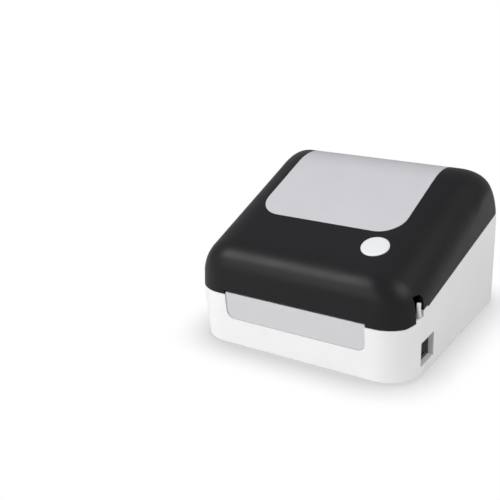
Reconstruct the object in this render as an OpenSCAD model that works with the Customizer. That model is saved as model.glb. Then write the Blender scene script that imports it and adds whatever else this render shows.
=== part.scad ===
// Desktop direct thermal label printer for labels about four inches wide.
// X is the width, -Y is the front with the label exit, +Z is up.
// Heights are taken from the surface that the feet stand on, and depths from the front face.

/* [Housing] */
// Width of the housing
body_w = 180; // [170:1:200]
// Depth of the housing
body_d = 190; // [186:1:210]
// Plan radius of the front corners
front_corner_r = 26; // [18:1:30]
// Plan radius of the rear corners
rear_corner_r = 17; // [12:1:22]
// Wall thickness of the housing and the cover
wall = 3; // [2.4:0.1:3.4]
// How far the front leans in at the bottom
front_draft = 4; // [2:0.5:5]
// Height of the rubber feet
foot_h = 1.5; // [1:0.25:2.5]
// Radius of a rubber foot
foot_r = 7; // [5:0.5:9]
// Thickness of the bottom cover
bottom_cover_t = 2.5; // [2:0.25:3]

/* [Cover] */
// Height at which the sloping top meets the front face, before rounding
top_front_z = 78.3; // [74:0.5:84]
// Slope of the top, in degrees
top_slope = 19.8; // [17:0.1:21]
// Rounding between the front face and the top
front_round_r = 24; // [18:1:28]
// Rounding between the top and the rear face
rear_round_r = 57; // [50:1:60]
// Rounding along both side edges of the top
side_round_r = 35; // [28:1:38]
// Gap between the cover's edge and the housing's edge
seam_gap = 0.4; // [0.3:0.1:0.8]
// Height of the housing's edge at the front
seam_front_z = 43.6; // [43:0.1:46]
// Height of the housing's edge just behind the release lever
seam_side_z = 50.8; // [49:0.5:53]
// Height of the housing's edge at the rear
seam_rear_z = 81.7; // [78:0.5:86]

/* [Window] */
// Width of the window
window_w = 118.8; // [110:0.5:124]
// Distance of the window's front edge from the front face
window_front_d = 48.5; // [46:0.5:56]
// Distance of the window's rear edge from the rear face, in plan
window_rear_gap = 8; // [6:0.5:14]
// Plan radius of the window's front corners
window_corner_r = 19; // [12:1:22]
// Plan radius of the window's rear corners
window_rear_r = 6; // [4:1:10]
// Thickness of the window
window_t = 1.9; // [1.5:0.1:2]
// Width of the ledge that carries the window
window_ledge = 3; // [2:0.5:4]
// Gap round the window
window_gap = 0.2; // [0.1:0.05:0.4]

/* [Front panel] */
// Width of the grey front panel
panel_w = 117; // [106:0.5:118]
// Height of the panel's lower edge
panel_low_z = 23.5; // [20:0.5:28]
// Radius of the panel's lower corners
panel_corner_r = 7; // [5:0.5:12]
// How far the panel sits behind the front face
panel_recess = 0.8; // [0.4:0.1:1.2]
// Height of the label exit between the panel and the cover
exit_gap = 1.5; // [1:0.1:2]
// Width of the panel's hidden flange
panel_flange = 3; // [2:0.5:4]

/* [Feed button] */
// Radius of the feed button
button_r = 10.4; // [8:0.1:11.5]
// Distance of the button from the middle of the cover
button_x = 49.8; // [46:0.2:52]
// Distance of the button from the front face, in plan
button_d = 33.5; // [31:0.5:35]
// How far the button stands above the cover
button_proud = 0.6; // [0.2:0.1:1]
// Travel of the button
button_travel = 0.8; // [0.4:0.1:1]

/* [Platen] */
// Radius of the platen's rubber
platen_r = 8; // [7:0.25:8.5]
// Length of the platen's rubber
platen_l = 108; // [104:1:110]
// Radius of the platen shaft
platen_shaft_r = 3; // [2.5:0.1:3.5]
// Distance of the platen's axis from the front face
platen_d = 15; // [14.5:0.25:16]
// Height of the platen's axis
platen_z = 37.4; // [37:0.1:37.8]
// Radial clearance of every running fit
run_fit = 0.06; // [0.03:0.01:0.1]

/* [Gears] */
// Module of the feed gears
gear_m = 0.8; // [0.78:0.01:0.82]
// Face width of the feed gears
gear_w = 4; // [3:0.25:4.5]
// Teeth of the platen gear
platen_teeth = 22; // [21:1:22]
// Teeth of the idler's small wheel
idler_small_teeth = 16; // [15:1:17]
// Teeth of the idler's large wheel
idler_large_teeth = 30; // [28:1:31]
// Teeth of the motor pinion
pinion_teeth = 14; // [13:1:15]
// Radius of the stepper motor
motor_r = 15; // [13:0.5:15]
// Length of the stepper motor
motor_l = 22; // [16:1:26]

/* [Release lever] */
// Distance of the lever's pivot from the front face
latch_d = 30; // [29:0.25:31]
// Height of the lever's pivot
latch_z = 38.5; // [38:0.25:39]
// Radius of the latch shaft
latch_shaft_r = 2; // [1.6:0.1:2.2]
// Rear edge of the cover's lever notch, from the front face
notch_rear_d = 27.8; // [27.6:0.1:29]
// Front edge of the cover's lever notch, from the front face
notch_front_d = 18.2; // [17.2:0.1:18.4]
// Height of the notch's upper edge
notch_top_z = 65; // [64.5:0.5:68]
// Width of the lever's thumb bar
lever_bar_w = 2.6; // [2:0.1:2.8]
// Thickness of the lever's thumb bar
lever_bar_t = 2.4; // [2:0.1:3]

/* [Roll holders] */
// Widest label roll that the holders take
roll_w = 108; // [100:1:110]
// Distance of the roll's axis from the front face
roll_d = 122; // [118:1:126]
// Height of the roll's axis
roll_z = 68; // [64:1:70]
// Radius of the rotating hubs
hub_r = 12.4; // [10:0.2:12.6]
// Length of the rotating hubs
hub_l = 6; // [4:0.5:8]
// Thickness of the holder plates
holder_t = 3; // [2.5:0.25:3.5]
// Inward travel of each holder
holder_travel = 34; // [20:1:34]
// Teeth of the rack pinion
guide_teeth = 16; // [15:1:17]

/* [Power switch] */
// Distance of the switch recess from the front face
switch_d = 26; // [24:0.5:28]
// Length of the recess
switch_l = 22.5; // [21:0.5:24]
// Height of the recess's lower edge
switch_z = 9; // [8.5:0.5:10]
// Height of the recess
switch_h = 18.6; // [17.5:0.1:19.5]
// Depth of the recess
switch_depth = 5.5; // [4.5:0.25:6.5]

/* [Hidden] */

$fn = 48;
far = 400;

// Housing levels
cover_top_z = foot_h + bottom_cover_t;
seam_bend_d = 10;
seam_bend_rise = 2;
seam_step_d = notch_front_d + seam_gap;
seam_flat_d = 31;
notch_floor_z = 48;
notch_slant = 3.2;
tab_rear_d = 34.2;
tab_rise = 2;
panel_rise = 1.7;
panel_top_z = seam_front_z + panel_rise;
exit_z = panel_top_z + exit_gap;
boss_r = 4;
boss_h = 7;
screw_r = 1.25;
screw_head_r = 2.8;
screw_head_h = 1.6;
hole_r = 1.3;

// Hinge at the rear of the seam
hinge_inset = 5;
hinge_d = body_d - hinge_inset;
hinge_z = seam_rear_z;
barrel_r = 3.2;
hinge_pin_r = 1.5;
groove_r = 5.4;
ear_clear = 0.6;
ear_x = body_w / 2 - 24;
ear_w = 6;
lug_w = 15;
lug_root_h = 7;
side_clear = 0.4;

// Front mechanism
cheek_x = 60;
cheek_t = 1.5;
gear_x = cheek_x + cheek_t + 1.5;
idler_angle = -62;
motor_angle = -4;
shaft_short = 0.5;
latch_shaft_half = body_w / 2 - 6;
bush_r = 4.5;
stud_r = 1.5;
motor_shaft_r = 1.25;
idler_d = platen_d + mesh_distance(platen_teeth, idler_small_teeth) * cos(idler_angle);
idler_z = platen_z + mesh_distance(platen_teeth, idler_small_teeth) * sin(idler_angle);
motor_d = idler_d + mesh_distance(idler_large_teeth, pinion_teeth) * cos(motor_angle);
motor_z = idler_z + mesh_distance(idler_large_teeth, pinion_teeth) * sin(motor_angle);

// Print head, hung from the cover
head_gap = 0.4;
head_z = platen_z + platen_r + head_gap;
ceramic_t = 1;
sink_top_z = head_z + 5.2;
head_w = 112;
head_front_d = 9;
head_rear_d = 35;
rod_d = 32;
rod_z = head_z + 4.2;
rod_r = 1.5;
bracket_x = head_w / 2 + 1.2;
bracket_t = 1.5;
bracket_top_z = 60;
bracket_low_z = 47;
catch_d = 24;
catch_z = 51.2;
catch_r = 1.5;
catch_l = 11.3;
head_boss_x = 24;
head_boss_front_d = 18;
head_boss_rear_d = 33;
spring_x = 42;
spring_d = 18;

// Media tray and roll holders
tray_t = 2;
tray_z = 20;
deck_z = 43.5;
deck_front_d = 26.5;
deck_rear_d = 62;
ramp_rear_d = 80;
tray_rear_d = body_d - 20;
tray_half_w = 70;
tray_wall_z = 47;
tray_narrow_half = 59;
tray_narrow_d = 35;
tray_post_x = 64;
tray_post_r = 3;
guide_m = 1;
guide_r = guide_m * guide_teeth / 2;
rack_top_z = 16.5;
rack_h = 4.5;
rack_w = 4;
rack_gap = 1.1;
holder_x = roll_w / 2;
holder_half_l = 17;
holder_gap = 0.3;
foot_plate_t = 3;
pinion_post_r = 2.5;

// Gap sensor
sensor_l = 12;
sensor_w = 8;
sensor_h = 5;
sensor_d = 50;
sensor_travel = 38;

// Electronics
board_t = 1.6;
board_z = cover_top_z + 4;
board_half_w = 60;
board_l = 42;
board_rear_d = body_d - 6;
board_front_d = board_rear_d - board_l;
board_hole_x = 54;
chip_h = 1.6;
header_h = 6;
capacitor_x = 36;
usb_x = -14;
usb_w = 12;
usb_h = 11;
usb_l = 16.5;
dc_x = 26;
dc_w = 9.2;
dc_h = 11;
dc_l = 14.5;
dc_bore_r = 2.9;
slot_w = 110;
slot_z = 52;
slot_h = 6;

// ---- Helpers -------------------------------------------------------------------------------

function fy(d) = d - body_d / 2;
function top_z(d) = top_front_z + tan(top_slope) * d;
function arc(c, r, a0, a1, n) = [
    for (i = [0 : n]) let(a = a0 + (a1 - a0) * i / n) [c[0] + r * cos(a), c[1] + r * sin(a)]
];
function mesh_distance(a, b) = gear_m * (a + b) / 2;
function diagonal_z(d) = seam_side_z
    + (seam_rear_z - seam_side_z) * (d - seam_flat_d) / (body_d - seam_flat_d);

// Side view of the outer form, as points of depth and height
function side_points(inset, lift) = let(
    rf = front_round_r - inset,
    rr = rear_round_r - inset,
    zf = top_front_z - front_round_r / cos(top_slope) + tan(top_slope) * front_round_r,
    dr = body_d - rear_round_r,
    zr = top_front_z - rear_round_r / cos(top_slope) + tan(top_slope) * dr
) concat(
    [[front_draft + inset, lift]],
    [[inset, seam_front_z]],
    arc([front_round_r, zf], rf, 180, 90 + top_slope, 12),
    arc([dr, zr], rr, 90 + top_slope, 0, 20),
    [[body_d - inset, lift]]
);

// Plan outline, with larger radii at the front
function plan_points(inset) = let(
    x = body_w / 2,
    f = front_corner_r,
    r = rear_corner_r
) concat(
    arc([-x + f, fy(f)], f - inset, 180, 270, 10),
    arc([x - f, fy(f)], f - inset, 270, 360, 10),
    arc([x - r, fy(body_d - r)], r - inset, 0, 90, 8),
    arc([-x + r, fy(body_d - r)], r - inset, 90, 180, 8)
);

// Rounded arch across the width, with its crown at zero height
function arch_points(inset, low) = let(x = body_w / 2 - side_round_r, r = side_round_r) concat(
    [[body_w / 2 - inset, low]],
    arc([x, -r], r - inset, 0, 90, 12),
    arc([-x, -r], r - inset, 90, 180, 12),
    [[-body_w / 2 + inset, low]]
);

// Polygon of depth and height, drawn along the width about the middle
module across(w) {
    rotate([90, 0, 90]) linear_extrude(height = w, center = true) children();
}

// The same, moved so that depths count from the front face
module side_plate(w) {
    translate([0, fy(0), 0]) across(w) children();
}

// Places children at a point on the cover's sloping top, with Z along its normal
module on_top(x, d) {
    translate([x, fy(d), top_z(d)]) rotate([top_slope, 0, 0]) children();
}

// Solid outer form, made smaller all round by an inset
module body_form(inset, lift = foot_h) {
    intersection() {
        linear_extrude(height = far) polygon(plan_points(inset));
        side_plate(body_w) polygon(side_points(inset, lift));
        on_top(0, 0) rotate([90, 0, 0])
            linear_extrude(height = far, center = true) polygon(arch_points(inset, -far));
        translate([0, 0, rear_crown_z()]) rotate([90, 0, 0])
            linear_extrude(height = far, center = true) polygon(arch_points(inset, -far));
    }
}

function rear_crown_z() = top_front_z - rear_round_r / cos(top_slope)
    + tan(top_slope) * (body_d - rear_round_r) + rear_round_r;

// Edge line from the front to the lever: level round the corner, then rising
function front_seam(d, lift) = [
    [-1, seam_front_z + lift], [seam_bend_d, seam_front_z + lift],
    [seam_step_d, seam_front_z + seam_bend_rise + lift], [d, seam_front_z + seam_bend_rise + lift]
];

// Edge line behind the lever: a raised tab that the cover fits over, then a long diagonal
function rear_seam(d, lift) = [
    [d, diagonal_z(d) + tab_rise + lift], [tab_rear_d, diagonal_z(tab_rear_d) + tab_rise + lift],
    [tab_rear_d + tab_rise, diagonal_z(tab_rear_d + tab_rise) + lift],
    [body_d + 1, diagonal_z(body_d + 1) + lift]
];

// Space below the housing's edge
module below_seam() {
    side_plate(body_w + 2) polygon(concat(
        [[-1, -1]],
        front_seam(seam_step_d, 0),
        [[seam_step_d, notch_floor_z], [notch_rear_d, notch_floor_z]],
        rear_seam(notch_rear_d, 0),
        [[body_d + 1, -1]]
    ));
}

// Space above the cover's edge
module above_seam() {
    d = notch_rear_d + seam_gap;
    side_plate(body_w + 2) polygon(concat(
        [[-1, far]],
        front_seam(d, seam_gap),
        rear_seam(d, seam_gap),
        [[body_d + 1, far]]
    ));
}

// Notches in the cover's side walls, one for each release lever, slanted at the upper rear
module lever_notches() {
    deep = 12;
    d = notch_rear_d + seam_gap;
    for (s = [-1, 1])
        translate([s * (body_w / 2 + 1 - deep / 2), 0, 0]) side_plate(deep) polygon([
            [notch_front_d, 0], [notch_front_d, notch_top_z], [d - notch_slant, notch_top_z],
            [d, notch_top_z - notch_slant], [d, 0]
        ]);
}

// Cylinder along the width
module rod(r, l, x, d, z) {
    translate([x, fy(d), z]) rotate([0, 90, 0]) cylinder(h = l, r = r);
}

// Teeth as straight-sided polygons round the pitch circle
function gear_points(teeth, m, phase) = let(
    rp = m * teeth / 2,
    rt = rp + 0.85 * m,
    rr = rp - 1.1 * m,
    half = 0.62 * m,
    at = atan((half - 0.85 * m * tan(20)) / rt),
    ar = atan((half + 1.1 * m * tan(20)) / rr)
) [
    for (i = [0 : teeth - 1]) let(a = phase + 360 * i / teeth)
        each [[rr, a - ar], [rt, a - at], [rt, a + at], [rr, a + ar]]
];

module toothed_disc(teeth, m, phase, w) {
    linear_extrude(height = w)
        polygon([for (p = gear_points(teeth, m, phase)) [p[0] * cos(p[1]), p[0] * sin(p[1])]]);
}

// Gear with its axis along the width, starting at x and growing towards -X
module side_gear(teeth, phase, x, w, d, z) {
    translate([x - w, fy(d), z]) rotate([90, 0, 90]) toothed_disc(teeth, gear_m, phase, w);
}

// Cross-section of a coil's round wire, cut level
function wire_points(r, wire, pitch) = let(span = 360 * wire / pitch / 2) concat(
    [for (i = [-3 : 3]) let(a = span * i / 3, t = wire / 2 * sqrt(max(0, 1 - i * i / 9)))
        [(r + t) * cos(a), (r + t) * sin(a)]],
    [for (i = [2 : -1 : -2]) let(a = span * i / 3, t = wire / 2 * sqrt(max(0, 1 - i * i / 9)))
        [(r - t) * cos(a), (r - t) * sin(a)]]
);

module coil(r, wire, turns, h) {
    linear_extrude(height = h, twist = -360 * turns, slices = turns * 10, $fn = 12)
        polygon(wire_points(r, wire, h / turns));
}

// ---- Base ----------------------------------------------------------------------------------

bottom_points = [
    for (s = [-1, 1]) each [[s * (body_w / 2 - 18), 14], [s * (body_w / 2 - 16), body_d - 22]]
];

module panel_opening(grow, top) {
    r = panel_corner_r + grow;
    x = panel_w / 2 + grow;
    low = panel_low_z - grow;
    translate([0, fy(0), 0]) rotate([90, 0, 0])
        linear_extrude(height = 40, center = true) polygon(concat(
            arc([-x + r, low + r], r, 180, 270, 6),
            arc([x - r, low + r], r, 270, 360, 6),
            [[x, top], [-x, top]]
        ));
}

module switch_box(grow, depth) {
    translate([body_w / 2 - depth, fy(switch_d - grow), switch_z - grow])
        cube([depth + 1, switch_l + 2 * grow, switch_h + 2 * grow]);
}

// Bosses for the bottom cover's screws, tied to the walls
module bottom_bosses() {
    for (p = bottom_points) {
        translate([p[0], fy(p[1]), cover_top_z]) cylinder(h = boss_h, r = boss_r);
        translate([p[0] > 0 ? p[0] : p[0] - 18, fy(p[1]) - 1, cover_top_z]) cube([18, 2, boss_h]);
    }
}

module hinge_ears() {
    for (s = [-1, 1]) {
        x = s > 0 ? ear_x : -ear_x - ear_w;
        rod(barrel_r, ear_w, x, hinge_d, hinge_z);
        translate([x, fy(hinge_d - barrel_r), hinge_z - 14])
            cube([ear_w, barrel_r * 2 - 1.4, 14]);
    }
}

module base_housing() {
    color("whitesmoke") difference() {
        union() {
            difference() {
                intersection() {
                    body_form(0);
                    below_seam();
                }
                body_form(wall, -1);
                intersection() {
                    rod(groove_r, body_w, -body_w / 2, hinge_d, hinge_z);
                    translate([-body_w / 2, fy(hinge_d - 2), 0]) cube([body_w, 20, far]);
                }
            }
            intersection() {
                body_form(wall - 0.5, -1);
                union() {
                    bottom_bosses();
                    translate([body_w / 2 - switch_depth - 1.5, fy(switch_d - 1.5), switch_z - 1.5])
                        cube([switch_depth, switch_l + 3, switch_h + 3]);
                }
            }
            intersection() {
                body_form(0.6);
                hinge_ears();
            }
        }
        panel_opening(0, far);
        switch_box(0, switch_depth);
        translate([body_w / 2 - switch_depth - 5, fy(switch_d + 1.6), switch_z + 1.6])
            cube([10, switch_l - 3.2, switch_h - 3.2]);
        for (p = bottom_points)
            translate([p[0], fy(p[1]), cover_top_z - 1]) cylinder(h = boss_h, r = hole_r);
        rod(hinge_pin_r, 2 * (ear_x + ear_w) + 2, -ear_x - ear_w - 1, hinge_d, hinge_z);
        translate([usb_x - usb_w / 2 - side_clear, fy(body_d - 8), board_z + board_t - side_clear])
            cube([usb_w + 2 * side_clear, 10, usb_h + 2 * side_clear]);
        translate([dc_x - dc_w / 2 - side_clear, fy(body_d - 8), board_z + board_t - side_clear])
            cube([dc_w + 2 * side_clear, 10, dc_h + 2 * side_clear]);
        translate([-slot_w / 2, fy(body_d - 8), slot_z]) cube([slot_w, 10, slot_h]);
    }
}

frame_points = [[-45, 52], [45, 52], [-45, 14], [45, 14]];
tray_posts = [for (s = [-1, 1]) each [[s, 72], [s, tray_rear_d - 6]]];
board_points = [
    for (s = [-1, 1]) each [[s * board_hole_x, board_front_d + 5], [s * board_hole_x, board_rear_d - 6]]
];

module bottom_cover() {
    color("gainsboro") difference() {
        union() {
            intersection() {
                body_form(wall + side_clear);
                translate([-far / 2, -far / 2, foot_h]) cube([far, far, bottom_cover_t]);
            }
            for (p = board_points)
                translate([p[0], fy(p[1]), foot_h]) cylinder(h = board_z - foot_h, r = 3);
            for (p = tray_posts)
                translate([p[0] * tray_post_x, fy(p[1]), foot_h])
                    cylinder(h = post_top(p[1]) - foot_h, r = tray_post_r);
        }
        for (p = bottom_points) {
            translate([p[0], fy(p[1]), 0]) cylinder(h = 10, r = hole_r + 0.4);
            translate([p[0], fy(p[1]), 0]) cylinder(h = foot_h + screw_head_h, r = screw_head_r + 0.3);
        }
        for (p = frame_points)
            translate([p[0], fy(p[1]), foot_h + 0.5]) cylinder(h = 10, r = hole_r);
        for (p = board_points)
            translate([p[0], fy(p[1]), foot_h + 1]) cylinder(h = 10, r = hole_r);
    }
}

// Underside of the tray above a depth
function ramp_z(d) = deck_z + (tray_z - deck_z) * (d - deck_rear_d) / (ramp_rear_d - deck_rear_d);
function post_top(d) = (d < ramp_rear_d ? ramp_z(d + tray_post_r) - 1.5 : tray_z) - tray_t;

module rubber_feet() {
    color("dimgray") for (x = [-1, 1], d = [34, body_d - 42])
        translate([x * (body_w / 2 - 28), fy(d), 0]) cylinder(h = foot_h, r = foot_r);
}

module front_panel() {
    color("silver") {
        intersection() {
            difference() {
                body_form(panel_recess);
                body_form(wall + 1, -1);
            }
            panel_opening(-0.2, panel_top_z);
            translate([-far / 2, fy(-5), 0]) cube([far, 20, far]);
        }
        intersection() {
            difference() {
                body_form(wall);
                body_form(wall + 1.4, -1);
            }
            panel_opening(panel_flange, seam_front_z - 0.6);
            translate([-far / 2, fy(-5), 0]) cube([far, 20, far]);
        }
    }
}

module tear_bar() {
    pitch = 2;
    teeth = 54;
    low = panel_top_z - 5;
    high = panel_top_z + 0.6;
    color("lightgray") translate([0, fy(wall + 3.2), 0]) rotate([90, 0, 0])
        linear_extrude(height = 0.8) polygon(concat(
            [[teeth * pitch / 2, low], [-teeth * pitch / 2, low]],
            [for (i = [0 : teeth - 1]) each [
                [(i - teeth / 2) * pitch, high - 0.8], [(i + 0.5 - teeth / 2) * pitch, high]
            ]],
            [[teeth * pitch / 2, high - 0.8]]
        ));
}

module tray_profile(t) {
    polygon([
        [deck_front_d, deck_z], [deck_rear_d, deck_z], [ramp_rear_d, tray_z],
        [tray_rear_d, tray_z], [tray_rear_d, tray_z - t], [ramp_rear_d - 1, tray_z - t],
        [deck_rear_d - 1, deck_z - t], [deck_front_d, deck_z - t]
    ]);
}

module rack_slot(s) {
    low = guide_r + rack_gap - 0.4;
    x0 = holder_x - holder_travel - 10;
    translate([s > 0 ? x0 : -holder_x - 10, fy(roll_d) + (s > 0 ? low : -low - rack_w), tray_z - 6])
        cube([holder_travel + 20, rack_w, 12]);
}

module media_tray() {
    color("dimgray") difference() {
        union() {
            side_plate(2 * tray_half_w) tray_profile(tray_t);
            for (s = [-1, 1])
                translate([s * (tray_half_w - 1), 0, 0]) side_plate(2) polygon([
                    [tray_narrow_d + 2, deck_z - tray_t], [tray_narrow_d + 2, tray_wall_z],
                    [tray_rear_d, tray_wall_z], [tray_rear_d, tray_z - tray_t],
                    [ramp_rear_d - 1, tray_z - tray_t], [deck_rear_d - 1, deck_z - tray_t]
                ]);
            translate([0, fy(roll_d), rack_top_z - rack_h])
                cylinder(h = tray_z - rack_top_z + rack_h - 1, r = pinion_post_r);
        }
        for (s = [-1, 1])
            translate([s > 0 ? tray_narrow_half : -tray_half_w - 1, fy(deck_front_d - 1), tray_z])
                cube([tray_half_w + 1 - tray_narrow_half, tray_narrow_d - deck_front_d + 1, 40]);
        translate([-cheek_x + 1, fy(latch_d) - 4, deck_z - tray_t - 1]) cube([9, 8, 1.9]);
        rack_slot(-1);
        rack_slot(1);
        translate([-sensor_l / 2 - 1, fy(sensor_d) - sensor_w / 2 - 0.3, deck_z - 10])
            cube([sensor_travel + sensor_l + 2, sensor_w + 0.6, 20]);
        translate([0, fy(roll_d), rack_top_z - rack_h - 1]) cylinder(h = 8, r = hole_r);
    }
}

module print_frame() {
    low = cover_top_z;
    color("lightsteelblue") difference() {
        union() {
            for (s = [-1, 1])
                translate([s * (cheek_x + cheek_t / 2), 0, 0]) side_plate(cheek_t) polygon([
                    [10, low], [9, platen_z - 4], [9, platen_z + 5.5], [21, platen_z + 5.5],
                    [25, deck_z - tray_t - 0.5], [deck_rear_d - 2, deck_z - tray_t - 0.5],
                    [deck_rear_d - 2, low]
                ]);
            translate([-cheek_x - 1, fy(10), low]) cube([2 * cheek_x + 2, deck_rear_d - 12, 1.2]);
        }
        rod(bush_r, far, -far / 2, platen_d, platen_z);
        rod(latch_shaft_r + run_fit, far, -far / 2, latch_d, latch_z);
        rod(stud_r, cheek_x, -far / 4, idler_d, idler_z);
        rod(4, cheek_x, -far / 4, motor_d, motor_z);
        for (p = frame_points) translate([p[0], fy(p[1]), 0]) cylinder(h = 10, r = hole_r + 0.3);
    }
}

module platen_bush(s) {
    l = cheek_t + 2;
    color("ivory") difference() {
        union() {
            rod(bush_r, l, s > 0 ? cheek_x - 1 : -cheek_x - cheek_t - 1, platen_d, platen_z);
            rod(bush_r + 1.2, 1, s > 0 ? cheek_x - 1 : -cheek_x, platen_d, platen_z);
        }
        rod(platen_shaft_r + run_fit, far, -far / 2, platen_d, platen_z);
    }
}

module platen_bush_left() {
    platen_bush(-1);
}

module platen_bush_right() {
    platen_bush(1);
}

module stepper_motor() {
    color("gray") difference() {
        union() {
            rod(motor_r, motor_l, -cheek_x, motor_d, motor_z);
            rod(3.9, 1, -cheek_x - 1, motor_d, motor_z);
            translate([-cheek_x, fy(motor_d), motor_z]) rotate([90, 0, 90])
                linear_extrude(height = 1) polygon([[-5, 0], [-3, -13], [12, -18.5], [18.5, -12], [16, 0]]);
        }
        rod(motor_shaft_r + run_fit, 16, -cheek_x - 2, motor_d, motor_z);
        translate([-far / 2, -far / 2, 0]) cube([far, far, cover_top_z + 1.6]);
    }
}

module idler_stud() {
    color("silver") rod(stud_r, 13.5, -gear_x - 2 * gear_w - 1.5, idler_d, idler_z);
}

module main_board() {
    color("seagreen") difference() {
        translate([-board_half_w, fy(board_front_d), board_z])
            cube([2 * board_half_w, board_rear_d - board_front_d, board_t]);
        for (p = board_points) translate([p[0], fy(p[1]), 0]) cylinder(h = 30, r = hole_r + 0.3);
    }
}

module board_components() {
    z = board_z + board_t;
    color("black") {
        translate([-4, fy(board_front_d + 6), z]) cube([14, 14, chip_h]);
        translate([-34, fy(board_front_d + 8), z]) cube([10, 8, chip_h]);
        translate([-4, fy(board_rear_d - 20), z]) cube([20, 5, header_h]);
        translate([-48, fy(board_rear_d - 16), z]) cube([20, 5, header_h]);
        for (i = [0 : 2])
            translate([capacitor_x + i * 7, fy(board_rear_d - 15), z]) cylinder(h = 7, r = 3);
    }
}

module usb_socket() {
    z = board_z + board_t;
    color("silver") difference() {
        translate([usb_x - usb_w / 2, fy(body_d - 1 - usb_l), z]) cube([usb_w, usb_l, usb_h]);
        difference() {
            translate([usb_x - usb_w / 2 + 1.75, fy(body_d - 10), z + 1.6])
                cube([usb_w - 3.5, 12, usb_h - 3.2]);
            translate([usb_x - 2.8, fy(body_d - 10), z + usb_h / 2 - 1.6]) cube([5.6, 8.5, 3.2]);
        }
    }
}

module dc_jack() {
    z = board_z + board_t;
    color("black") {
        difference() {
            translate([dc_x - dc_w / 2, fy(body_d - 1 - dc_l), z]) cube([dc_w, dc_l, dc_h]);
            translate([dc_x, fy(body_d - 10.5), z + dc_h / 2]) rotate([-90, 0, 0])
                cylinder(h = 12, r = dc_bore_r);
        }
        translate([dc_x, fy(body_d - 11), z + dc_h / 2]) rotate([-90, 0, 0]) cylinder(h = 9.5, r = 1.05);
    }
}

// The bezel covers the bottom of the recess; the rocker swings in the cup behind it
rocker_d = switch_d + switch_l / 2;
rocker_z = switch_z + switch_h / 2;
rocker_x = body_w / 2 - switch_depth - 4;
rocker_l = 15;
rocker_h = 11;
pivot_r = 1.2;
pivot_tip = 1.2;

module power_switch_body() {
    face_x = body_w / 2 - switch_depth;
    color("black") difference() {
        union() {
            translate([face_x, fy(switch_d + 0.3), switch_z + 0.3])
                cube([1.5, switch_l - 0.6, switch_h - 0.6]);
            translate([face_x - 16, fy(switch_d + 2), switch_z + 2])
                cube([16.5, switch_l - 4, switch_h - 4]);
        }
        translate([face_x - 9, fy(rocker_d) - rocker_l / 2 - 0.5, rocker_z - rocker_h / 2 - 0.4])
            cube([12, rocker_l + 1, rocker_h + 0.8]);
        translate([rocker_x, fy(rocker_d), rocker_z - rocker_h / 2 - pivot_tip - 0.2])
            cylinder(h = rocker_h + 2 * pivot_tip + 0.4, r = pivot_r + run_fit);
    }
}

module bottom_screws() {
    color("silver") for (p = bottom_points) {
        translate([p[0], fy(p[1]), foot_h + 0.2]) cylinder(h = screw_head_h - 0.2, r = screw_head_r);
        translate([p[0], fy(p[1]), foot_h + 0.2]) cylinder(h = 8, r = screw_r);
    }
}

module pan_screw(x, d, z, l) {
    translate([x, fy(d), z]) cylinder(h = screw_head_h, r = screw_head_r);
    translate([x, fy(d), z - l]) cylinder(h = l + 0.5, r = screw_r);
}

module frame_screws() {
    color("silver") for (p = frame_points) pan_screw(p[0], p[1], cover_top_z + 1.2, 3);
}

module board_screws() {
    color("silver") for (p = board_points) pan_screw(p[0], p[1], board_z + board_t, 6);
}

module pinion_screw() {
    color("silver") {
        translate([0, fy(roll_d), rack_top_z - rack_h - screw_head_h]) cylinder(h = screw_head_h, r = 4);
        translate([0, fy(roll_d), rack_top_z - rack_h - 0.5]) cylinder(h = 6, r = screw_r);
    }
}

module hinge_pin(s) {
    l = lug_w + ear_w + 1;
    color("silver") rod(hinge_pin_r, l, s > 0 ? ear_x + ear_w - l : -ear_x - ear_w, hinge_d, hinge_z);
}

module hinge_pin_left() {
    hinge_pin(-1);
}

module hinge_pin_right() {
    hinge_pin(1);
}

module latch_spring() {
    color("silver") translate([-cheek_x + 2, fy(latch_d), latch_z]) rotate([0, 90, 0])
        coil(latch_shaft_r + 0.45, 0.55, 6, 7);
}

// ---- Cover ---------------------------------------------------------------------------------

// Vertical prism with the window's plan outline
module window_prism(grow) {
    x = window_w / 2 + grow;
    f = window_corner_r + grow;
    r = window_rear_r + grow;
    d0 = window_front_d - grow;
    d1 = body_d - window_rear_gap + grow;
    linear_extrude(height = far) polygon(concat(
        arc([-x + f, fy(d0) + f], f, 180, 270, 8),
        arc([x - f, fy(d0) + f], f, 270, 360, 8),
        arc([x - r, fy(d1) - r], r, 0, 90, 5),
        arc([-x + r, fy(d1) - r], r, 90, 180, 5)
    ));
}

module cover_bosses() {
    for (x = [-head_boss_x, head_boss_x], d = [head_boss_front_d, head_boss_rear_d])
        translate([x, fy(d), bracket_top_z]) cylinder(h = 60, r = boss_r);
    on_top(button_x, button_d) for (s = [-1, 1])
        translate([s * button_boss_x, 0, -button_board_depth]) cylinder(h = button_board_depth, r = 2.5);
}

module cover_lugs() {
    for (s = [-1, 1]) {
        x = s > 0 ? ear_x - ear_clear - lug_w : -ear_x + ear_clear;
        rod(barrel_r, lug_w, x, hinge_d, hinge_z);
        translate([x, fy(hinge_d - barrel_r), hinge_z]) cube([lug_w, barrel_r + 3, lug_root_h]);
    }
}

button_board_depth = 10;
button_boss_x = 15.5;
button_flange_depth = 4.2;

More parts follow.
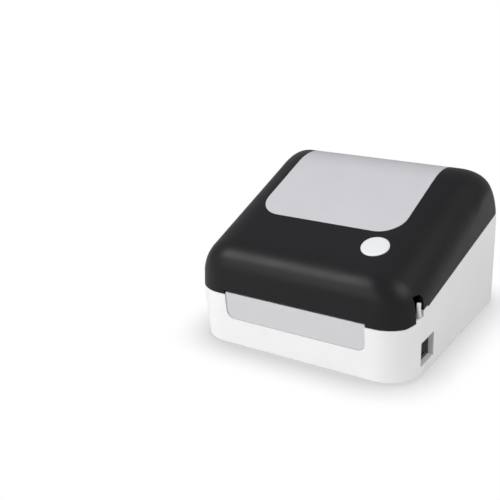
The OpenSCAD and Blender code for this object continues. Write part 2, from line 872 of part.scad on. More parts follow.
module top_cover() {
    color([0.16, 0.16, 0.17]) difference() {
        union() {
            difference() {
                intersection() {
                    body_form(0);
                    above_seam();
                }
                body_form(wall, -1);
                intersection() {
                    difference() {
                        body_form(-1);
                        body_form(window_t + 0.1, -1);
                    }
                    window_prism(window_gap);
                }
                window_prism(-window_ledge);
                for (s = [-1, 1])
                    rod(barrel_r + ear_clear, ear_w + 2 * ear_clear,
                        s > 0 ? ear_x - ear_clear : -ear_x - ear_w - ear_clear, hinge_d, hinge_z);
            }
            intersection() {
                body_form(wall - 0.5, -1);
                cover_bosses();
            }
            intersection() {
                body_form(0.2);
                cover_lugs();
            }
        }
        lever_notches();
        on_top(button_x, button_d) translate([0, 0, -wall - 1]) cylinder(h = 20, r = button_r + 0.3);
        translate([-panel_w / 2 - 0.6, fy(-1), 0]) cube([panel_w + 1.2, 10, exit_z]);
        rod(hinge_pin_r + run_fit, 2 * ear_x, -ear_x, hinge_d, hinge_z);
        for (x = [-head_boss_x, head_boss_x], d = [head_boss_front_d, head_boss_rear_d])
            translate([x, fy(d), bracket_top_z - 1]) cylinder(h = 9, r = hole_r);
        on_top(button_x, button_d) for (s = [-1, 1])
            translate([s * button_boss_x, 0, -button_board_depth - 1]) cylinder(h = 6, r = 1);
    }
}

module lid_window() {
    color([0.72, 0.72, 0.74, 0.8]) intersection() {
        difference() {
            body_form(0);
            body_form(window_t, -1);
        }
        window_prism(0);
        translate([-far / 2, -far / 2, seam_rear_z]) cube([far, far, far]);
    }
}

module head_bracket() {
    color("silver") difference() {
        union() {
            for (s = [-1, 1])
                translate([s * (bracket_x + bracket_t / 2), 0, 0]) side_plate(bracket_t) polygon([
                    [12, bracket_top_z], [12, 55], [19, bracket_low_z + 1], [21, bracket_low_z],
                    [36, bracket_low_z], [38, bracket_low_z + 2], [38, bracket_top_z]
                ]);
            translate([-bracket_x - 1, fy(12), bracket_top_z - bracket_t])
                cube([2 * bracket_x + 2, 26, bracket_t]);
        }
        rod(rod_r, far, -far / 2, rod_d, rod_z);
        rod(catch_r, far, -far / 2, catch_d, catch_z);
        for (x = [-head_boss_x, head_boss_x], d = [head_boss_front_d, head_boss_rear_d])
            translate([x, fy(d), 50]) cylinder(h = 20, r = hole_r + 0.3);
    }
}

module head_pivot_rod() {
    l = 2 * (bracket_x + bracket_t);
    color("silver") rod(rod_r, l, -l / 2, rod_d, rod_z);
}

module catch_pin(s) {
    l = catch_l + bracket_t;
    color("silver") rod(catch_r, l, s > 0 ? bracket_x : -bracket_x - l, catch_d, catch_z);
}

module catch_pin_left() {
    catch_pin(-1);
}

module catch_pin_right() {
    catch_pin(1);
}

module head_screws() {
    color("silver") for (x = [-head_boss_x, head_boss_x], d = [head_boss_front_d, head_boss_rear_d])
        translate([x, fy(d), 0]) {
            translate([0, 0, bracket_top_z - bracket_t - screw_head_h])
                cylinder(h = screw_head_h, r = screw_head_r);
            translate([0, 0, bracket_top_z - bracket_t - 0.5]) cylinder(h = 8, r = screw_r);
        }
}

module button_board() {
    color("seagreen") on_top(button_x, button_d) {
        difference() {
            translate([-button_boss_x - 4, -8, -button_board_depth - board_t])
                cube([2 * button_boss_x + 8, 16, board_t]);
            for (s = [-1, 1]) translate([s * button_boss_x, 0, -20]) cylinder(h = 20, r = 1.2);
        }
        translate([-3, -3, -button_board_depth]) cube([6, 6, 1.4]);
    }
}

module button_screws() {
    color("silver") on_top(button_x, button_d) for (s = [-1, 1]) {
        translate([s * button_boss_x, 0, -button_board_depth - board_t - 1.2]) cylinder(h = 1.2, r = 2);
        translate([s * button_boss_x, 0, -button_board_depth - board_t - 0.5]) cylinder(h = 6, r = 0.95);
    }
}

module feed_button() {
    color("white") on_top(button_x, button_d) {
        translate([0, 0, -button_flange_depth])
            cylinder(h = button_flange_depth + button_proud, r = button_r);
        translate([0, 0, -button_flange_depth - 1.2]) cylinder(h = 1.4, r = button_r + 1.4);
        translate([0, 0, -button_board_depth + 1.4 + button_travel + 0.2]) cylinder(h = 5, r = 2.6);
    }
}

module head_spring(s) {
    h = bracket_top_z - bracket_t - sink_top_z;
    color("silver") translate([s * spring_x, fy(spring_d), sink_top_z]) coil(2.6, 0.7, 4, h);
}

module head_spring_left() {
    head_spring(-1);
}

module head_spring_right() {
    head_spring(1);
}

module heat_sink() {
    z0 = head_z + ceramic_t;
    color("lightgray") difference() {
        union() {
            translate([-head_w / 2, fy(head_front_d), z0])
                cube([head_w, head_rear_d - head_front_d, sink_top_z - z0]);
            for (d = [23, 26])
                translate([-head_w / 2, fy(d), sink_top_z - 0.5]) cube([head_w, 1, 2.5]);
            translate([-head_w / 2, fy(rod_d - 3), z0]) cube([head_w, 6, rod_z + 3 - z0]);
        }
        rod(rod_r + run_fit, far, -far / 2, rod_d, rod_z);
    }
}

module thermal_head() {
    color("darkkhaki") translate([-head_w / 2 + 2, fy(head_front_d + 1), head_z])
        cube([head_w - 4, 16, ceramic_t]);
}

// ---- Latch ---------------------------------------------------------------------------------

module latch_shaft() {
    color("silver") rod(latch_shaft_r, 2 * latch_shaft_half, -latch_shaft_half, latch_d, latch_z);
}

// Thumb bar outside, hook over the catch pin inside, both on one hub
module release_lever(s) {
    bar_c = [40.6, 57.5];
    bar_r = 19;
    arm_x = body_w / 2 - 10;
    arm_t = 3.6;
    collar_x = body_w / 2 - 13;
    lever_in_x = 62.5;
    out_x = body_w / 2;
    mirror([s > 0 ? 0 : 1, 0, 0]) color("white") difference() {
        union() {
            rod(latch_shaft_r + 1, arm_x - lever_in_x, lever_in_x, latch_d, latch_z);
            rod(latch_shaft_r + 2.2, arm_x + arm_t - collar_x, collar_x, latch_d, latch_z);
            translate([out_x - lever_bar_t / 2, 0, 0]) side_plate(lever_bar_t) polygon(concat(
                arc(bar_c, bar_r + lever_bar_w / 2, 172, 205, 8),
                arc(bar_c, bar_r - lever_bar_w / 2, 207, 172, 8)
            ));
            translate([(arm_x + out_x) / 2, 0, 0]) side_plate(out_x - arm_x) polygon([
                [21.6, 49.2], [22.4, 48.5], [24.6, 48.5], [24.8, 49.8], [23.6, 51.6], [21.6, 51.6]
            ]);
            translate([arm_x + arm_t / 2, 0, 0]) side_plate(arm_t) polygon([
                [21.6, 49.2], [22.4, 48.5], [latch_d - 1, latch_z - 4.2], [latch_d + 4, latch_z],
                [latch_d + 1, latch_z + 4.2], [24.8, 50.4], [23.6, 51.6], [21.6, 51.6]
            ]);
            translate([66, 0, 0]) side_plate(4) polygon([
                [latch_d - 3, latch_z], [latch_d + 3.6, latch_z], [latch_d + 2.4, 55.5],
                [latch_d - 2, 57], [catch_d + 2.1, 56.2], [catch_d + 2.0, catch_z + 1.9],
                [latch_d - 1.8, catch_z + 1.2]
            ]);
        }
        rod(latch_shaft_r, latch_shaft_half, 0, latch_d, latch_z);
    }
}

module release_lever_left() {
    release_lever(-1);
}

module release_lever_right() {
    release_lever(1);
}

// ---- Feed train ----------------------------------------------------------------------------

module platen_roller() {
    color("dimgray") difference() {
        rod(platen_r, platen_l, -platen_l / 2, platen_d, platen_z);
        rod(platen_shaft_r, far, -far / 2, platen_d, platen_z);
    }
}

module platen_shaft() {
    left = gear_x + gear_w - shaft_short;
    color("silver") rod(platen_shaft_r, left + cheek_x + cheek_t + 3, -left, platen_d, platen_z);
}

module platen_gear() {
    color("ivory") difference() {
        side_gear(platen_teeth, idler_angle, -gear_x, gear_w, platen_d, platen_z);
        rod(platen_shaft_r, 40, -90, platen_d, platen_z);
    }
}

// The small wheel meshes with the platen gear and the large wheel with the motor pinion
module idler_gear() {
    small_phase = idler_angle + 180 + 180 / idler_small_teeth;
    color("ivory") difference() {
        union() {
            side_gear(idler_small_teeth, small_phase, -gear_x, gear_w, idler_d, idler_z);
            side_gear(idler_large_teeth, motor_angle, -gear_x - gear_w, gear_w, idler_d, idler_z);
        }
        rod(stud_r + run_fit, 40, -90, idler_d, idler_z);
    }
}

module motor_pinion() {
    phase = motor_angle + 180 + 180 / pinion_teeth;
    color("gold") {
        side_gear(pinion_teeth, phase, -gear_x - gear_w, gear_w, motor_d, motor_z);
        rod(motor_shaft_r, 17, -gear_x - gear_w - 1, motor_d, motor_z);
    }
}

module power_rocker() {
    color([0.1, 0.1, 0.1]) translate([rocker_x, fy(rocker_d), rocker_z - rocker_h / 2]) rotate([0, 0, -7]) {
        linear_extrude(height = rocker_h) polygon([
            [-3, -3], [5.6, -rocker_l / 2 + 0.5], [4.8, 0], [5.6, rocker_l / 2 - 0.5], [-3, 3]
        ]);
        translate([0, 0, -pivot_tip]) cylinder(h = rocker_h + 2 * pivot_tip, r = pivot_r);
    }
}

// ---- Media side ----------------------------------------------------------------------------

// Holder plate with its rack below the tray; s is the side, and the rack reaches past the pinion
module roll_holder(s) {
    in_x = holder_x;
    plate_z = tray_z + holder_gap;
    rack_in = guide_r + rack_gap;
    rack_pitch = PI * guide_m;
    first = -1;
    last = floor((holder_x - 6) / rack_pitch);
    rotate([0, 0, s > 0 ? 0 : 180]) translate([0, s > 0 ? fy(roll_d) : -fy(roll_d), 0])
        color("lightgray") difference() {
            union() {
                translate([in_x, 0, 0]) rotate([90, 0, 90]) linear_extrude(height = holder_t) polygon(concat(
                    [[-holder_half_l, plate_z], [holder_half_l, plate_z]],
                    arc([0, roll_z], hub_r + 3, 0, 180, 12)
                ));
                translate([in_x, -holder_half_l, plate_z]) cube([10, 2 * holder_half_l, foot_plate_t]);
                translate([in_x, rack_in, rack_top_z - rack_h])
                    cube([7, rack_w - 0.8, plate_z - rack_top_z + rack_h]);
                translate([-4, rack_in, rack_top_z - rack_h]) cube([in_x + 8, rack_w - 0.8, rack_h]);
                for (i = [first : last])
                    translate([i * rack_pitch, 0, rack_top_z - rack_h])
                        linear_extrude(height = rack_h) polygon([
                            [-1.05, rack_in + 0.1], [-0.3, guide_r - 0.85],
                            [0.3, guide_r - 0.85], [1.05, rack_in + 0.1]
                        ]);
                translate([in_x - hub_l + 0.5, 0, roll_z]) rotate([0, 90, 0]) cylinder(h = hub_l, r = 4);
            }
        }
}

module roll_holder_left() {
    roll_holder(-1);
}

module roll_holder_right() {
    roll_holder(1);
}

module roll_hub(s) {
    color("gray") mirror([s > 0 ? 0 : 1, 0, 0]) difference() {
        union() {
            rod(hub_r, hub_l - 1, holder_x - hub_l + 0.7, roll_d, roll_z);
            rod(hub_r + 2, 1.2, holder_x - 1.5, roll_d, roll_z);
        }
        rod(4 + run_fit, far, 0, roll_d, roll_z);
    }
}

module roll_hub_left() {
    roll_hub(-1);
}

module roll_hub_right() {
    roll_hub(1);
}

module guide_pinion() {
    color("ivory") translate([0, fy(roll_d), rack_top_z - rack_h + 0.2]) difference() {
        toothed_disc(guide_teeth, guide_m, 90 + 180 / guide_teeth, rack_h - 0.4);
        translate([0, 0, -1]) cylinder(h = 10, r = pinion_post_r + run_fit);
    }
}

module gap_sensor() {
    color("black") {
        translate([-sensor_l / 2, fy(sensor_d) - sensor_w / 2, deck_z - sensor_h])
            cube([sensor_l, sensor_w, sensor_h + 0.3]);
        translate([-sensor_l / 2 - 0.6, fy(sensor_d) - sensor_w / 2 - 2, deck_z - sensor_h])
            cube([sensor_l + 1.2, sensor_w + 4, sensor_h - tray_t - 0.3]);
    }
}

base_housing();
bottom_cover();
rubber_feet();
front_panel();
tear_bar();
media_tray();
print_frame();
platen_bush_left();
platen_bush_right();
stepper_motor();
idler_stud();
main_board();
board_components();
usb_socket();
dc_jack();
power_switch_body();
bottom_screws();
frame_screws();
board_screws();
pinion_screw();
hinge_pin_left();
hinge_pin_right();
latch_spring();
top_cover();
lid_window();
head_bracket();
head_pivot_rod();
catch_pin_left();
catch_pin_right();
head_screws();
button_board();
button_screws();
head_spring_left();
head_spring_right();
feed_button();
heat_sink();
thermal_head();
latch_shaft();
release_lever_left();
release_lever_right();
platen_roller();
platen_shaft();
platen_gear();
idler_gear();
motor_pinion();
power_rocker();
roll_holder_left();
roll_holder_right();
roll_hub_left();
roll_hub_right();
guide_pinion();
gap_sensor();
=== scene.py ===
import math

import bmesh
import bpy
from mathutils import Matrix, Vector


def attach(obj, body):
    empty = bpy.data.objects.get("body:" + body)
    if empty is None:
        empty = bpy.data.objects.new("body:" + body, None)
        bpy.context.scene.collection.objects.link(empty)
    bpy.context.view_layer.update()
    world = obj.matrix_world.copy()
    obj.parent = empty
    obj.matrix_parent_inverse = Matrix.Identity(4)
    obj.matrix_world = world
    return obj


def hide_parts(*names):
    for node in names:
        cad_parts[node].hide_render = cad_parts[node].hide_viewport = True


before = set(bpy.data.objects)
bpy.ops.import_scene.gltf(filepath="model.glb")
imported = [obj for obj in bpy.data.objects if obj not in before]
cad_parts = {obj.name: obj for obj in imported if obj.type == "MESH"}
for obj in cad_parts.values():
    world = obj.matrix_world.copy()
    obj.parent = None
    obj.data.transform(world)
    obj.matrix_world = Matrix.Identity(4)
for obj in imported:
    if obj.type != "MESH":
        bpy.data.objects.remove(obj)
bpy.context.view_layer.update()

# ---- Camera ------------------------------------------------------------------------------------
# A long lens from the front right and a little above, tipped slightly to the left.
# The picture is 500 pixels each way; its optical middle lies a little off the frame's middle.

FRAME_PIXELS = 500
camera_azimuth = math.radians(33.56)
camera_elevation = math.radians(20.51)
camera_roll = math.radians(-1.99)
camera_distance = 0.73551
camera_target = Vector((-0.08707, 0.0, 0.04845))
focal_pixels = 857.27
optical_x, optical_y = 260.96, 243.02

toward_camera = Vector((
    math.sin(camera_azimuth) * math.cos(camera_elevation),
    -math.cos(camera_azimuth) * math.cos(camera_elevation),
    math.sin(camera_elevation),
))
level_right = (-toward_camera).cross(Vector((0, 0, 1))).normalized()
level_up = level_right.cross(-toward_camera)
camera_right = math.cos(camera_roll) * level_right + math.sin(camera_roll) * level_up
camera_up = -math.sin(camera_roll) * level_right + math.cos(camera_roll) * level_up

lens = bpy.data.cameras.new("camera")
lens.sensor_width = 36.0
lens.lens = focal_pixels / FRAME_PIXELS * lens.sensor_width
lens.shift_x = (FRAME_PIXELS / 2 - optical_x) / FRAME_PIXELS
lens.shift_y = (optical_y - FRAME_PIXELS / 2) / FRAME_PIXELS
lens.clip_start = 0.01
camera = bpy.data.objects.new("camera", lens)
turn = Matrix((camera_right, camera_up, toward_camera)).transposed().to_4x4()
camera.matrix_world = Matrix.Translation(camera_target + toward_camera * camera_distance) @ turn
bpy.context.scene.collection.objects.link(camera)
bpy.context.scene.camera = camera
bpy.context.scene.view_settings.view_transform = "Standard"

# ---- Studio ------------------------------------------------------------------------------------
# A white table top that runs out of the picture, lit by soft boxes above and at the sides.
# Near the printer the table's glow, which is all the camera sees of it, is dimmed as painted shade
# for its contact shadow; past that, it reads as white paper.

def linear(code):
    parts = [int(code[i:i + 2], 16) / 255 for i in (1, 3, 5)]
    return [p / 12.92 if p <= 0.04045 else ((p + 0.055) / 1.055) ** 2.4 for p in parts] + [1.0]


def add_node(tree, kind, values=None, links=None, **settings):
    made = tree.nodes.new(kind)
    for name, value in settings.items():
        setattr(made, name, value)
    for name, value in (values or {}).items():
        made.inputs[name].default_value = value
    for name, source in (links or {}).items():
        tree.links.new(source, made.inputs[name])
    return made


def new_material(name):
    material = bpy.data.materials.new(name)
    material.use_nodes = True
    material.node_tree.nodes.clear()
    return material, material.node_tree


room = bpy.data.worlds.new("white room")
room.use_nodes = True
room.node_tree.nodes.clear()
path = add_node(room.node_tree, "ShaderNodeLightPath")
seen = add_node(room.node_tree, "ShaderNodeMath", operation="MAXIMUM",
                links={0: path.outputs["Is Camera Ray"], 1: path.outputs["Is Transmission Ray"]})
dim_room = add_node(room.node_tree, "ShaderNodeBackground",
                    {"Color": linear("#F4F5F7"), "Strength": 0.4})
white_room = add_node(room.node_tree, "ShaderNodeBackground",
                      {"Color": (1, 1, 1, 1), "Strength": 1.0})
either = add_node(room.node_tree, "ShaderNodeMixShader",
                  links={0: seen.outputs[0], 1: dim_room.outputs[0], 2: white_room.outputs[0]})
add_node(room.node_tree, "ShaderNodeOutputWorld", links={"Surface": either.outputs[0]})
bpy.context.scene.world = room

table_paint, tree = new_material("white table paint")
path = add_node(tree, "ShaderNodeLightPath")
seen = add_node(tree, "ShaderNodeMath", operation="MAXIMUM",
                links={0: path.outputs["Is Camera Ray"], 1: path.outputs["Is Transmission Ray"]})
matt = add_node(tree, "ShaderNodeBsdfDiffuse", {"Color": linear("#DADADA")})
# Painted shade: ambient occlusion dims the table's glow where the printer hides the room, so the
# table darkens round its foot.
sky_seen = add_node(tree, "ShaderNodeAmbientOcclusion", {"Distance": 0.035}, samples=16)
painted_shade = add_node(tree, "ShaderNodeMapRange",
                 {"From Min": 0.5, "From Max": 0.96, "To Min": 0.66, "To Max": 1.0},
                 {"Value": sky_seen.outputs["AO"]})
glow_with_painted_shade = add_node(tree, "ShaderNodeEmission", {"Color": (1, 1, 1, 1)}, {"Strength": painted_shade.outputs[0]})
shown = add_node(tree, "ShaderNodeMixShader",
                 links={0: seen.outputs[0], 1: matt.outputs[0], 2: glow_with_painted_shade.outputs[0]})
add_node(tree, "ShaderNodeOutputMaterial", links={"Surface": shown.outputs[0]})
table_mesh = bpy.data.meshes.new("table")
reach = 6.0
table_mesh.from_pydata([(-reach, -reach, 0), (reach, -reach, 0), (reach, reach, 0),
                        (-reach, reach, 0)], [], [(0, 1, 2, 3)])
table = bpy.data.objects.new("table", table_mesh)
table.data.materials.append(table_paint)
bpy.context.scene.collection.objects.link(table)


def soft_box(name, place, aim, width, height, power):
    lamp = bpy.data.lights.new(name, "AREA")
    lamp.shape = "RECTANGLE"
    lamp.size, lamp.size_y = width, height
    lamp.energy = power
    box = bpy.data.objects.new(name, lamp)
    box.location = place
    box.rotation_euler = (Vector(aim) - Vector(place)).to_track_quat("-Z", "Y").to_euler()
    bpy.context.scene.collection.objects.link(box)


soft_box("overhead box", (0.0, 0.15, 1.3), (0, 0, 0.05), 1.3, 0.9, 1.0)
soft_box("key box", (-0.78, -1.08, 1.06), (0, 0, 0.05), 0.75, 0.5, 14.0)
soft_box("low front box", (-0.3, -1.4, 0.32), (0, 0, 0.05), 1.2, 0.4, 4.5)
soft_box("right box", (1.45, 0.1, 0.95), (0, 0, 0.05), 0.9, 0.7, 10.5)

# ---- Housing -----------------------------------------------------------------------------------
# The lower half of the case: one white ABS moulding with walls 3 mm thick, open at the bottom and
# at the top, with screw bosses and the ears of the hinge moulded on. It meets the cover at a seam
# and has the same outer form: a side profile carried across the width, rounded into flat sides.

MM = 0.001
body_w, body_d = 180.0, 190.0
front_lean = 4.0
seam_front, seam_side, seam_rear = 43.6, 50.8, 81.7
seam_gap = 0.4
top_at_front, top_slope = 78.3, math.radians(19.8)
front_round, rear_round, side_round = 24.0, 57.0, 35.0
front_corner, rear_corner = 26.0, 17.0
bottom_z = 1.5
front_middle = (front_round, top_at_front - front_round / math.cos(top_slope)
                + math.tan(top_slope) * front_round)
rear_middle = (body_d - rear_round, top_at_front - rear_round / math.cos(top_slope)
               + math.tan(top_slope) * (body_d - rear_round))


def depth_to_y(depth):
    return depth - body_d / 2


def form_rings(inset, low):
    """The profile from the front, over the sloping top and down the rear.

    Each ring is a point and its rounding centre, as depth and height, and the rounding's width.
    """
    rings = []
    for i in range(12):
        z = low + (seam_front - low) * i / 12
        d = front_lean * (1 - z / seam_front)
        rings.append(((d + inset, z), (d + front_corner, z), front_corner - inset))
    wider = side_round - front_corner
    top_angle = math.pi / 2 + top_slope
    inward = Vector((math.sin(top_slope), -math.cos(top_slope)))
    slope_start = Vector((front_middle[0] + front_round * math.cos(top_angle),
                          front_middle[1] + front_round * math.sin(top_angle)))
    slope_end = Vector((rear_middle[0] + rear_round * math.cos(top_angle),
                        rear_middle[1] + rear_round * math.sin(top_angle)))
    corner_start, corner_end = Vector((front_corner, seam_front)), slope_start + inward * side_round
    upright, turning = 8, 20
    for i in range(upright + turning):
        t = i / (upright + turning)
        centre = corner_start.lerp(corner_end, t)
        if i < upright:
            point = (inset, seam_front + (front_middle[1] - seam_front) * i / upright)
        else:
            a = math.pi + (top_angle - math.pi) * (i - upright) / turning
            point = (front_middle[0] + (front_round - inset) * math.cos(a),
                     front_middle[1] + (front_round - inset) * math.sin(a))
        rings.append((point, tuple(centre), front_corner + wider * t - inset))
    for i in range(40):
        on_slope = slope_start.lerp(slope_end, i / 40)
        rings.append((tuple(on_slope + inward * inset), tuple(on_slope + inward * side_round),
                      side_round - inset))
    for i in range(48):
        a = top_angle * (1 - i / 48)
        t = min(1.0, i / 26)
        wide = side_round + (rear_corner - side_round) * (3 * t * t - 2 * t ** 3)
        far_out, near_in = rear_round - inset, rear_round - wide
        rings.append(((rear_middle[0] + far_out * math.cos(a),
                       rear_middle[1] + far_out * math.sin(a)),
                      (rear_middle[0] + near_in * math.cos(a),
                       rear_middle[1] + near_in * math.sin(a)),
                      wide - inset))
    for i in range(13):
        z = rear_middle[1] + (low - rear_middle[1]) * i / 12
        rings.append(((body_d - inset, z), (body_d - rear_corner, z), rear_corner - inset))
    return rings


def form_mesh(name, inset, low=bottom_z, round_steps=14, flat_steps=28):
    """Closed solid of the outer form, drawn in by the inset and cut level at the bottom."""
    half = body_w / 2 - inset
    points, faces = [], []
    rings = form_rings(inset, low)
    for (pd, pz), (cd, cz), wide in rings:
        side = []
        for k in range(round_steps + 1):
            a = math.pi / 2 * (1 - k / round_steps)
            side.append((half - wide * (1 - math.sin(a)), cd + (pd - cd) * math.cos(a),
                         cz + (pz - cz) * math.cos(a)))
        edge = side[-1][0]
        row = [(-x, d, z) for x, d, z in side]
        row += [(-edge + 2 * edge * k / flat_steps, pd, pz) for k in range(1, flat_steps)]
        row += side[::-1]
        points += [(x * MM, depth_to_y(d) * MM, z * MM) for x, d, z in row]
    across = len(points) // len(rings)
    for i in range(len(rings) - 1):
        for k in range(across - 1):
            a = i * across + k
            faces.append((a, a + 1, a + across + 1, a + across))
    faces.append(tuple(i * across for i in range(len(rings))))
    faces.append(tuple(i * across + across - 1 for i in reversed(range(len(rings)))))
    last = (len(rings) - 1) * across
    faces.append(tuple(reversed(range(across))) + tuple(last + k for k in range(across)))
    return solid(name, points, faces)


def solid(name, points, faces):
    mesh = bpy.data.meshes.new(name)
    mesh.from_pydata(points, [], faces)
    shape = bmesh.new()
    shape.from_mesh(mesh)
    bmesh.ops.recalc_face_normals(shape, faces=shape.faces)
    shape.to_mesh(mesh)
    shape.free()
    piece = bpy.data.objects.new(name, mesh)
    bpy.context.scene.collection.objects.link(piece)
    return piece


def prism(name, outline, axis, low, high):
    """Outline in millimetres drawn along the width (x), the depth (d) or the height (z)."""
    place = {
        "x": lambda a, b, t: (t * MM, depth_to_y(a) * MM, b * MM),
        "d": lambda a, b, t: (a * MM, depth_to_y(t) * MM, b * MM),
        "z": lambda a, b, t: (a * MM, depth_to_y(b) * MM, t * MM),
    }[axis]
    n = len(outline)
    points = [place(a, b, low) for a, b in outline] + [place(a, b, high) for a, b in outline]
    faces = [tuple(range(n)), tuple(range(2 * n - 1, n - 1, -1))]
    faces += [(i, (i + 1) % n, n + (i + 1) % n, n + i) for i in range(n)]
    return solid(name, points, faces)


def brick(name, x, d, z):
    return prism(name, [(x[0], d[0]), (x[1], d[0]), (x[1], d[1]), (x[0], d[1])], "z", z[0], z[1])


def arc(centre, radius, start, end, steps):
    angles = [math.radians(start + (end - start) * i / steps) for i in range(steps + 1)]
    return [(centre[0] + radius * math.cos(a), centre[1] + radius * math.sin(a)) for a in angles]


def bar_across(name, radius, x0, x1, d, z, steps=48):
    return prism(name, arc((d, z), radius, 0, 360 * (1 - 1 / steps), steps - 1), "x", x0, x1)


def peg(name, radius, x, d, z0, z1, steps=40):
    return prism(name, arc((x, d), radius, 0, 360 * (1 - 1 / steps), steps - 1), "z", z0, z1)


def joined(name, parts):
    """One object from several that stay clear of each other."""
    shape = bmesh.new()
    for part in parts:
        shape.from_mesh(part.data)
        bpy.data.objects.remove(part)
    mesh = bpy.data.meshes.new(name)
    shape.to_mesh(mesh)
    shape.free()
    piece = bpy.data.objects.new(name, mesh)
    bpy.context.scene.collection.objects.link(piece)
    return piece


def apply_step(piece, step):
    """Writes a modifier's result into the piece's own mesh."""
    seen = piece.evaluated_get(bpy.context.evaluated_depsgraph_get())
    made = bpy.data.meshes.new_from_object(seen)
    piece.modifiers.remove(step)
    piece.data = made


def carve(piece, tool, how):
    """Cuts the tool from the piece, adds it, or keeps what both share."""
    step = piece.modifiers.new("carve", "BOOLEAN")
    step.operation = how
    step.solver = "EXACT"
    step.object = tool
    apply_step(piece, step)
    bpy.data.objects.remove(tool)
    return piece


def moulded(piece, material, crease=32):
    """Smooth faces with crisp edges, and large flats that keep their own direction."""
    mesh = piece.data
    mesh.materials.clear()
    mesh.materials.append(material)
    mesh.polygons.foreach_set("use_smooth", [True] * len(mesh.polygons))
    mesh.polygons.foreach_set("material_index", [0] * len(mesh.polygons))
    mesh.set_sharp_from_angle(angle=math.radians(crease))
    step = piece.modifiers.new("flats", "WEIGHTED_NORMAL")
    step.keep_sharp = True
    apply_step(piece, step)
    piece.data.name = piece.name
    return piece


def front_edge(depth, lift):
    """The case's edge from the front to the lever: level round the corner, then rising."""
    return [(-2, seam_front + lift), (10, seam_front + lift), (18.6, seam_front + 2 + lift),
            (depth, seam_front + 2 + lift)]


def rear_edge(depth, lift):
    """The case's edge from behind the lever to the rear: a raised tab, then a long diagonal."""
    def line(d):
        return seam_side + (seam_rear - seam_side) * (d - 31) / (body_d - 31) + lift
    return [(depth, line(depth) + 2), (34.2, line(34.2) + 2), (36.2, line(36.2)),
            (body_d + 2, line(body_d + 2))]


def spark_textured(name, colour, roughness, grain=0.7, depth=0.12, soften=0.5, gloss=0.5):
    """Moulded plastic whose skin of fine pebbles, left by a spark-eroded mould, spreads the light.

    Real pebbles are under 0.1 mm; the grain is drawn coarser, so that it shows.
    """
    material, tree = new_material(name)
    place = add_node(tree, "ShaderNodeTexCoord")
    pebbles = add_node(tree, "ShaderNodeTexNoise",
                       {"Scale": 1 / (grain * MM), "Detail": 3.0, "Roughness": 0.6},
                       {"Vector": place.outputs["Object"]})
    rounded = add_node(tree, "ShaderNodeBevel", {"Radius": soften * MM}, samples=4)
    skin = add_node(tree, "ShaderNodeBump", {"Strength": depth, "Distance": 0.05 * MM},
                    {"Height": pebbles.outputs["Fac"], "Normal": rounded.outputs[0]})
    cloud = add_node(tree, "ShaderNodeTexNoise", {"Scale": 1 / (24 * MM), "Detail": 2.0},
                     {"Vector": place.outputs["Object"]})
    spread = add_node(tree, "ShaderNodeMapRange",
                      {"From Min": 0.3, "From Max": 0.7, "To Min": roughness - 0.03,
                       "To Max": roughness + 0.04},
                      {"Value": cloud.outputs["Fac"]})
    tone = [c * 0.96 for c in linear(colour)[:3]] + [1.0]
    tint = add_node(tree, "ShaderNodeMix", {6: tone, 7: linear(colour)}, {0: cloud.outputs["Fac"]},
                    data_type="RGBA")
    body = add_node(tree, "ShaderNodeBsdfPrincipled", {"IOR": 1.53, "Specular IOR Level": gloss},
                    {"Base Color": tint.outputs[2], "Roughness": spread.outputs[0],
                     "Normal": skin.outputs[0]})
    add_node(tree, "ShaderNodeOutputMaterial", links={"Surface": body.outputs[0]})
    return material


white_abs = spark_textured("white ABS, fine spark texture", "#F1F1F1", 0.42)
wall = 3.0
switch_front, switch_long, switch_low, switch_tall, switch_deep = 26.0, 22.5, 9.0, 18.6, 5.5
hinge_depth, hinge_height, barrel, groove = body_d - 5, seam_rear, 3.2, 5.4
ear_at, ear_wide, ear_gap, lug_wide = 66.0, 6.0, 0.6, 15.0
panel_half, panel_low, panel_corner, panel_top = 58.5, 23.5, 7.0, 45.3
notch_front, notch_rear, notch_top, notch_slant, notch_deep = 18.2, 27.8, 65.0, 3.2, 11.0
past_side = body_w / 2 + 2


def panel_outline(grow, top):
    r = panel_corner + grow
    x, low = panel_half + grow, panel_low - grow
    return (arc((-x + r, low + r), r, 180, 270, 8) + arc((x - r, low + r), r, 270, 360, 8)
            + [(x, top), (-x, top)])


base_screws = [(side * x, d) for side in (-1, 1) for x, d in ((72, 14), (74, body_d - 22))]
boss_radius, boss_low, boss_high, pilot_radius = 4, 3.7, 10.7, 1.3
housing = form_mesh("housing", 0)
carve(housing, prism("below", [(-2, -2)] + front_edge(18.6, 0)[:3] + [(18.6, 48), (notch_rear, 48)]
                     + rear_edge(notch_rear, 0) + [(body_d + 2, -2)],
                     "x", -past_side, past_side), "INTERSECT")
carve(housing, form_mesh("hollow", wall, low=-3), "DIFFERENCE")
carve(housing, prism("groove", arc((hinge_depth, hinge_height), groove, -111.7, -5, 12)
                     + [(body_d + 4, hinge_height + 9), (hinge_depth - 2, hinge_height + 9)],
                     "x", -past_side, past_side), "DIFFERENCE")
foot_bosses = []
for x, d in base_screws:
    stem = peg("boss", boss_radius, x, d, boss_low, boss_high)
    web = sorted((x, x + math.copysign(18, x)))
    carve(stem, brick("web", web, (d - 1, d + 1), (boss_low, boss_high)), "UNION")
    foot_bosses.append(stem)
ribs = joined("ribs", foot_bosses)
carve(ribs, brick("cup", (body_w / 2 - switch_deep - 1.5, body_w / 2 - 1.5),
                  (switch_front - 1.5, switch_front + switch_long + 1.5),
                  (switch_low - 1.5, switch_low + switch_tall + 1.5)), "UNION")
carve(ribs, form_mesh("inside", wall - 0.5, low=-3), "INTERSECT")
carve(housing, ribs, "UNION")
ears = []
